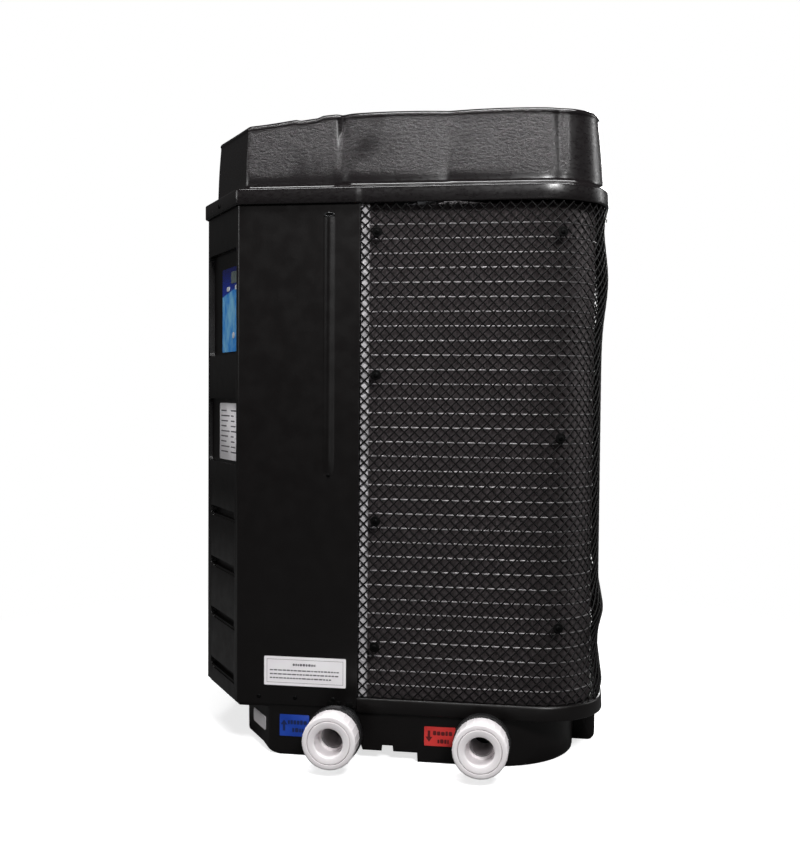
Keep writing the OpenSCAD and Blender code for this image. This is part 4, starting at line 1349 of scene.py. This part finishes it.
def motor_fins(a, r, h):
    """Cooling grooves round the can between its two end bells."""
    ribs = np.maximum(0, np.cos(a * 24)) ** 2
    return -3 * MM * ribs if r > 69.5 * MM and 14 * MM < h < 60 * MM else np.zeros(len(a))


def build_motor():
    lo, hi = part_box("fan_motor")
    h = (hi.z - lo.z) / MM
    profile = [(6.4, 0), (22, 0), (24, 1.5), (24, 6), (60, 6.4), (67, 9), (70, 13), (70, 14.5), (70, 58),
               (70, 60), (69, h - 2), (67, h), (20, h), (20, h - 8), (6.4, h - 10)]
    mesh = lathe(in_mm(profile), 240, (0, 0, lo.z), ribs=motor_fins)
    add_piece("motor_case", mesh, "motor_paint", "fan_motor", smooth=35)


# ---- Inside pieces that show through the guard ------------------------------------------


def soften_inner_nodes():
    """Small bevels on the inner CAD nodes, so that their edges catch light."""
    widths = {
        0.3: "control_board",
        0.4: "motor_bolts",
        0.5: "fan_shaft coil_end_plate_front coil_end_plate_rear compressor_bolts",
        0.6: "contactor_armature motor_bracket corner_posts",
        0.8: "terminal_block cable_gland compressor_grommets",
        1.0: "control_box contactor_body expansion_valve water_pressure_switch "
             "inlet_union_body outlet_union_body",
        1.5: "transformer filter_drier run_capacitor",
        2.0: "compressor exchanger_shell",
    }
    for width, names in widths.items():
        for name in names.split():
            bevel(frame["nodes"][name], width * MM, 2)
    for obj in frame["nodes"].values():
        shade(obj.data, 30)


# ---- Build ----------------------------------------------------------------------------

build_cap()
build_base()
build_service_panel()
build_rib()
build_side_panel()
build_netting()
build_coil()
build_fasteners()
build_union("inlet")
build_union("outlet")
build_control_face()
build_notice()
build_water_label("water_in_label", "blue_film", "label_blue", "ink_blue", True)
build_water_label("water_out_label", "red_film", "label_red", "ink_red", False)
build_base_label()
build_seam_hardware()
build_fan_guard()
build_fan()
build_motor()
soften_inner_nodes()


# ---- Studio ---------------------------------------------------------------------------


WHITE = (1, 1, 1, 1)
FLOOR_GLOW = 0.7
WORLD_SEEN = 1.0
WORLD_LIGHT = 0.05


def camera_only(tree, for_camera, for_light):
    """Mixes two shader outputs: one seen by the camera, one by every other ray."""
    seen = add_node(tree, "LightPath").outputs["Is Camera Ray"]
    inputs = [(0, seen), (1, for_light), (2, for_camera)]
    return add_node(tree, "MixShader", inputs).outputs[0]


def build_floor():
    """A pale floor that glows softly near the unit and fades to white; dim to the lights."""
    mesh = build_mesh([(-8, -8, 0), (8, -8, 0), (8, 8, 0), (-8, 8, 0)], [(0, 1, 2, 3)])
    mesh.transform(Matrix.Translation((0, 0, -0.0005)))
    m = Shader("floor", (236, 236, 236), 0.8, spec=0.0)
    m.color(m.mix(m.noise(3, 2), (232, 232, 233), (240, 240, 240)))
    glow = m.node("Emission", 0, [("Color", WHITE), ("Strength", FLOOR_GLOW)])
    both = m.node("AddShader", 0, [(0, glow), (1, m.bsdf.outputs[0])])
    white = m.node("Emission", 0, [("Strength", WORLD_SEEN)])
    across = m.node("VectorMath", "Value", [(0, m.coord)], operation="LENGTH")
    fade = m.node("MixShader", 0, [(0, m.ramp(across, 0.5, 1.4)), (1, both), (2, white)])
    dim = m.node("BsdfDiffuse", 0, [("Color", srgb(90, 90, 90))])
    surface = m.tree.nodes["Material Output"].inputs["Surface"]
    m.tree.links.new(camera_only(m.tree, fade, dim), surface)
    mesh.materials.append(m.mat)
    link("floor", mesh)


def area_light(name, place, target, size, power):
    data = bpy.data.lights.new(name, "AREA")
    data.shape = "RECTANGLE"
    data.size, data.size_y = size
    data.energy = power
    obj = link(name, data)
    obj.location = place
    obj.rotation_euler = (Vector(target) - Vector(place)).to_track_quat("-Z", "Y").to_euler()


LIGHTS = [
    ("key", (1.3, -3.0, 2.6), (0, -0.3, 0.9), (0.8, 0.6), 96),
    ("edge", (3.0, 1.4, 1.7), (0.3, 0, 0.9), (0.6, 1.6), 18),
    ("fill", (-3.2, -1.5, 1.9), (-0.2, -0.2, 0.7), (1.0, 1.0), 24),
    ("top", (0.3, -0.9, 3.1), (0, 0, 1.0), (2.8, 0.4), 80),
    ("low", (0.7, -3.4, 0.35), (0, 0, 0.2), (1.2, 0.3), 2),
    ("rear", (0.9, 3.6, 1.9), (0, 0.3, 0.6), (1.4, 1.4), 110),
]


def build_lights():
    for light in LIGHTS:
        area_light(*light)
    world = bpy.data.worlds.new("pale")
    bpy.context.scene.world = world
    world.use_nodes = True
    tree = world.node_tree
    seen = tree.nodes["Background"]
    seen.inputs["Color"].default_value = WHITE
    seen.inputs["Strength"].default_value = WORLD_SEEN
    light = add_node(tree, "Background", [("Color", WHITE), ("Strength", WORLD_LIGHT)])
    out = camera_only(tree, seen.outputs[0], light.outputs[0])
    tree.links.new(out, tree.nodes["World Output"].inputs["Surface"])
    bpy.context.scene.view_settings.view_transform = "Standard"


CAMERA_PLACE = (0.3118, -2.2376, 0.6479)
CAMERA_YAW = 8.75
CAMERA_PITCH = -2.004
CAMERA_ROLL = 0.451
CAMERA_LENS = 45.13


def build_camera():
    """The photograph's view, from its yaw, pitch and roll in degrees."""
    yaw, pitch, roll = (math.radians(a) for a in (CAMERA_YAW, CAMERA_PITCH, CAMERA_ROLL))
    ahead = Vector((-math.sin(yaw) * math.cos(pitch), math.cos(yaw) * math.cos(pitch), math.sin(pitch)))
    level = Vector((math.cos(yaw), math.sin(yaw), 0))
    up = level.cross(ahead)
    right = level * math.cos(roll) + up * math.sin(roll)
    top = up * math.cos(roll) - level * math.sin(roll)
    data = bpy.data.cameras.new("view")
    data.lens = CAMERA_LENS
    data.sensor_width = 36
    obj = link("view", data)
    turn = Matrix((right, top, -ahead)).transposed().to_4x4()
    obj.matrix_world = Matrix.Translation(CAMERA_PLACE) @ turn
    bpy.context.scene.camera = obj


build_floor()
build_lights()
build_camera()
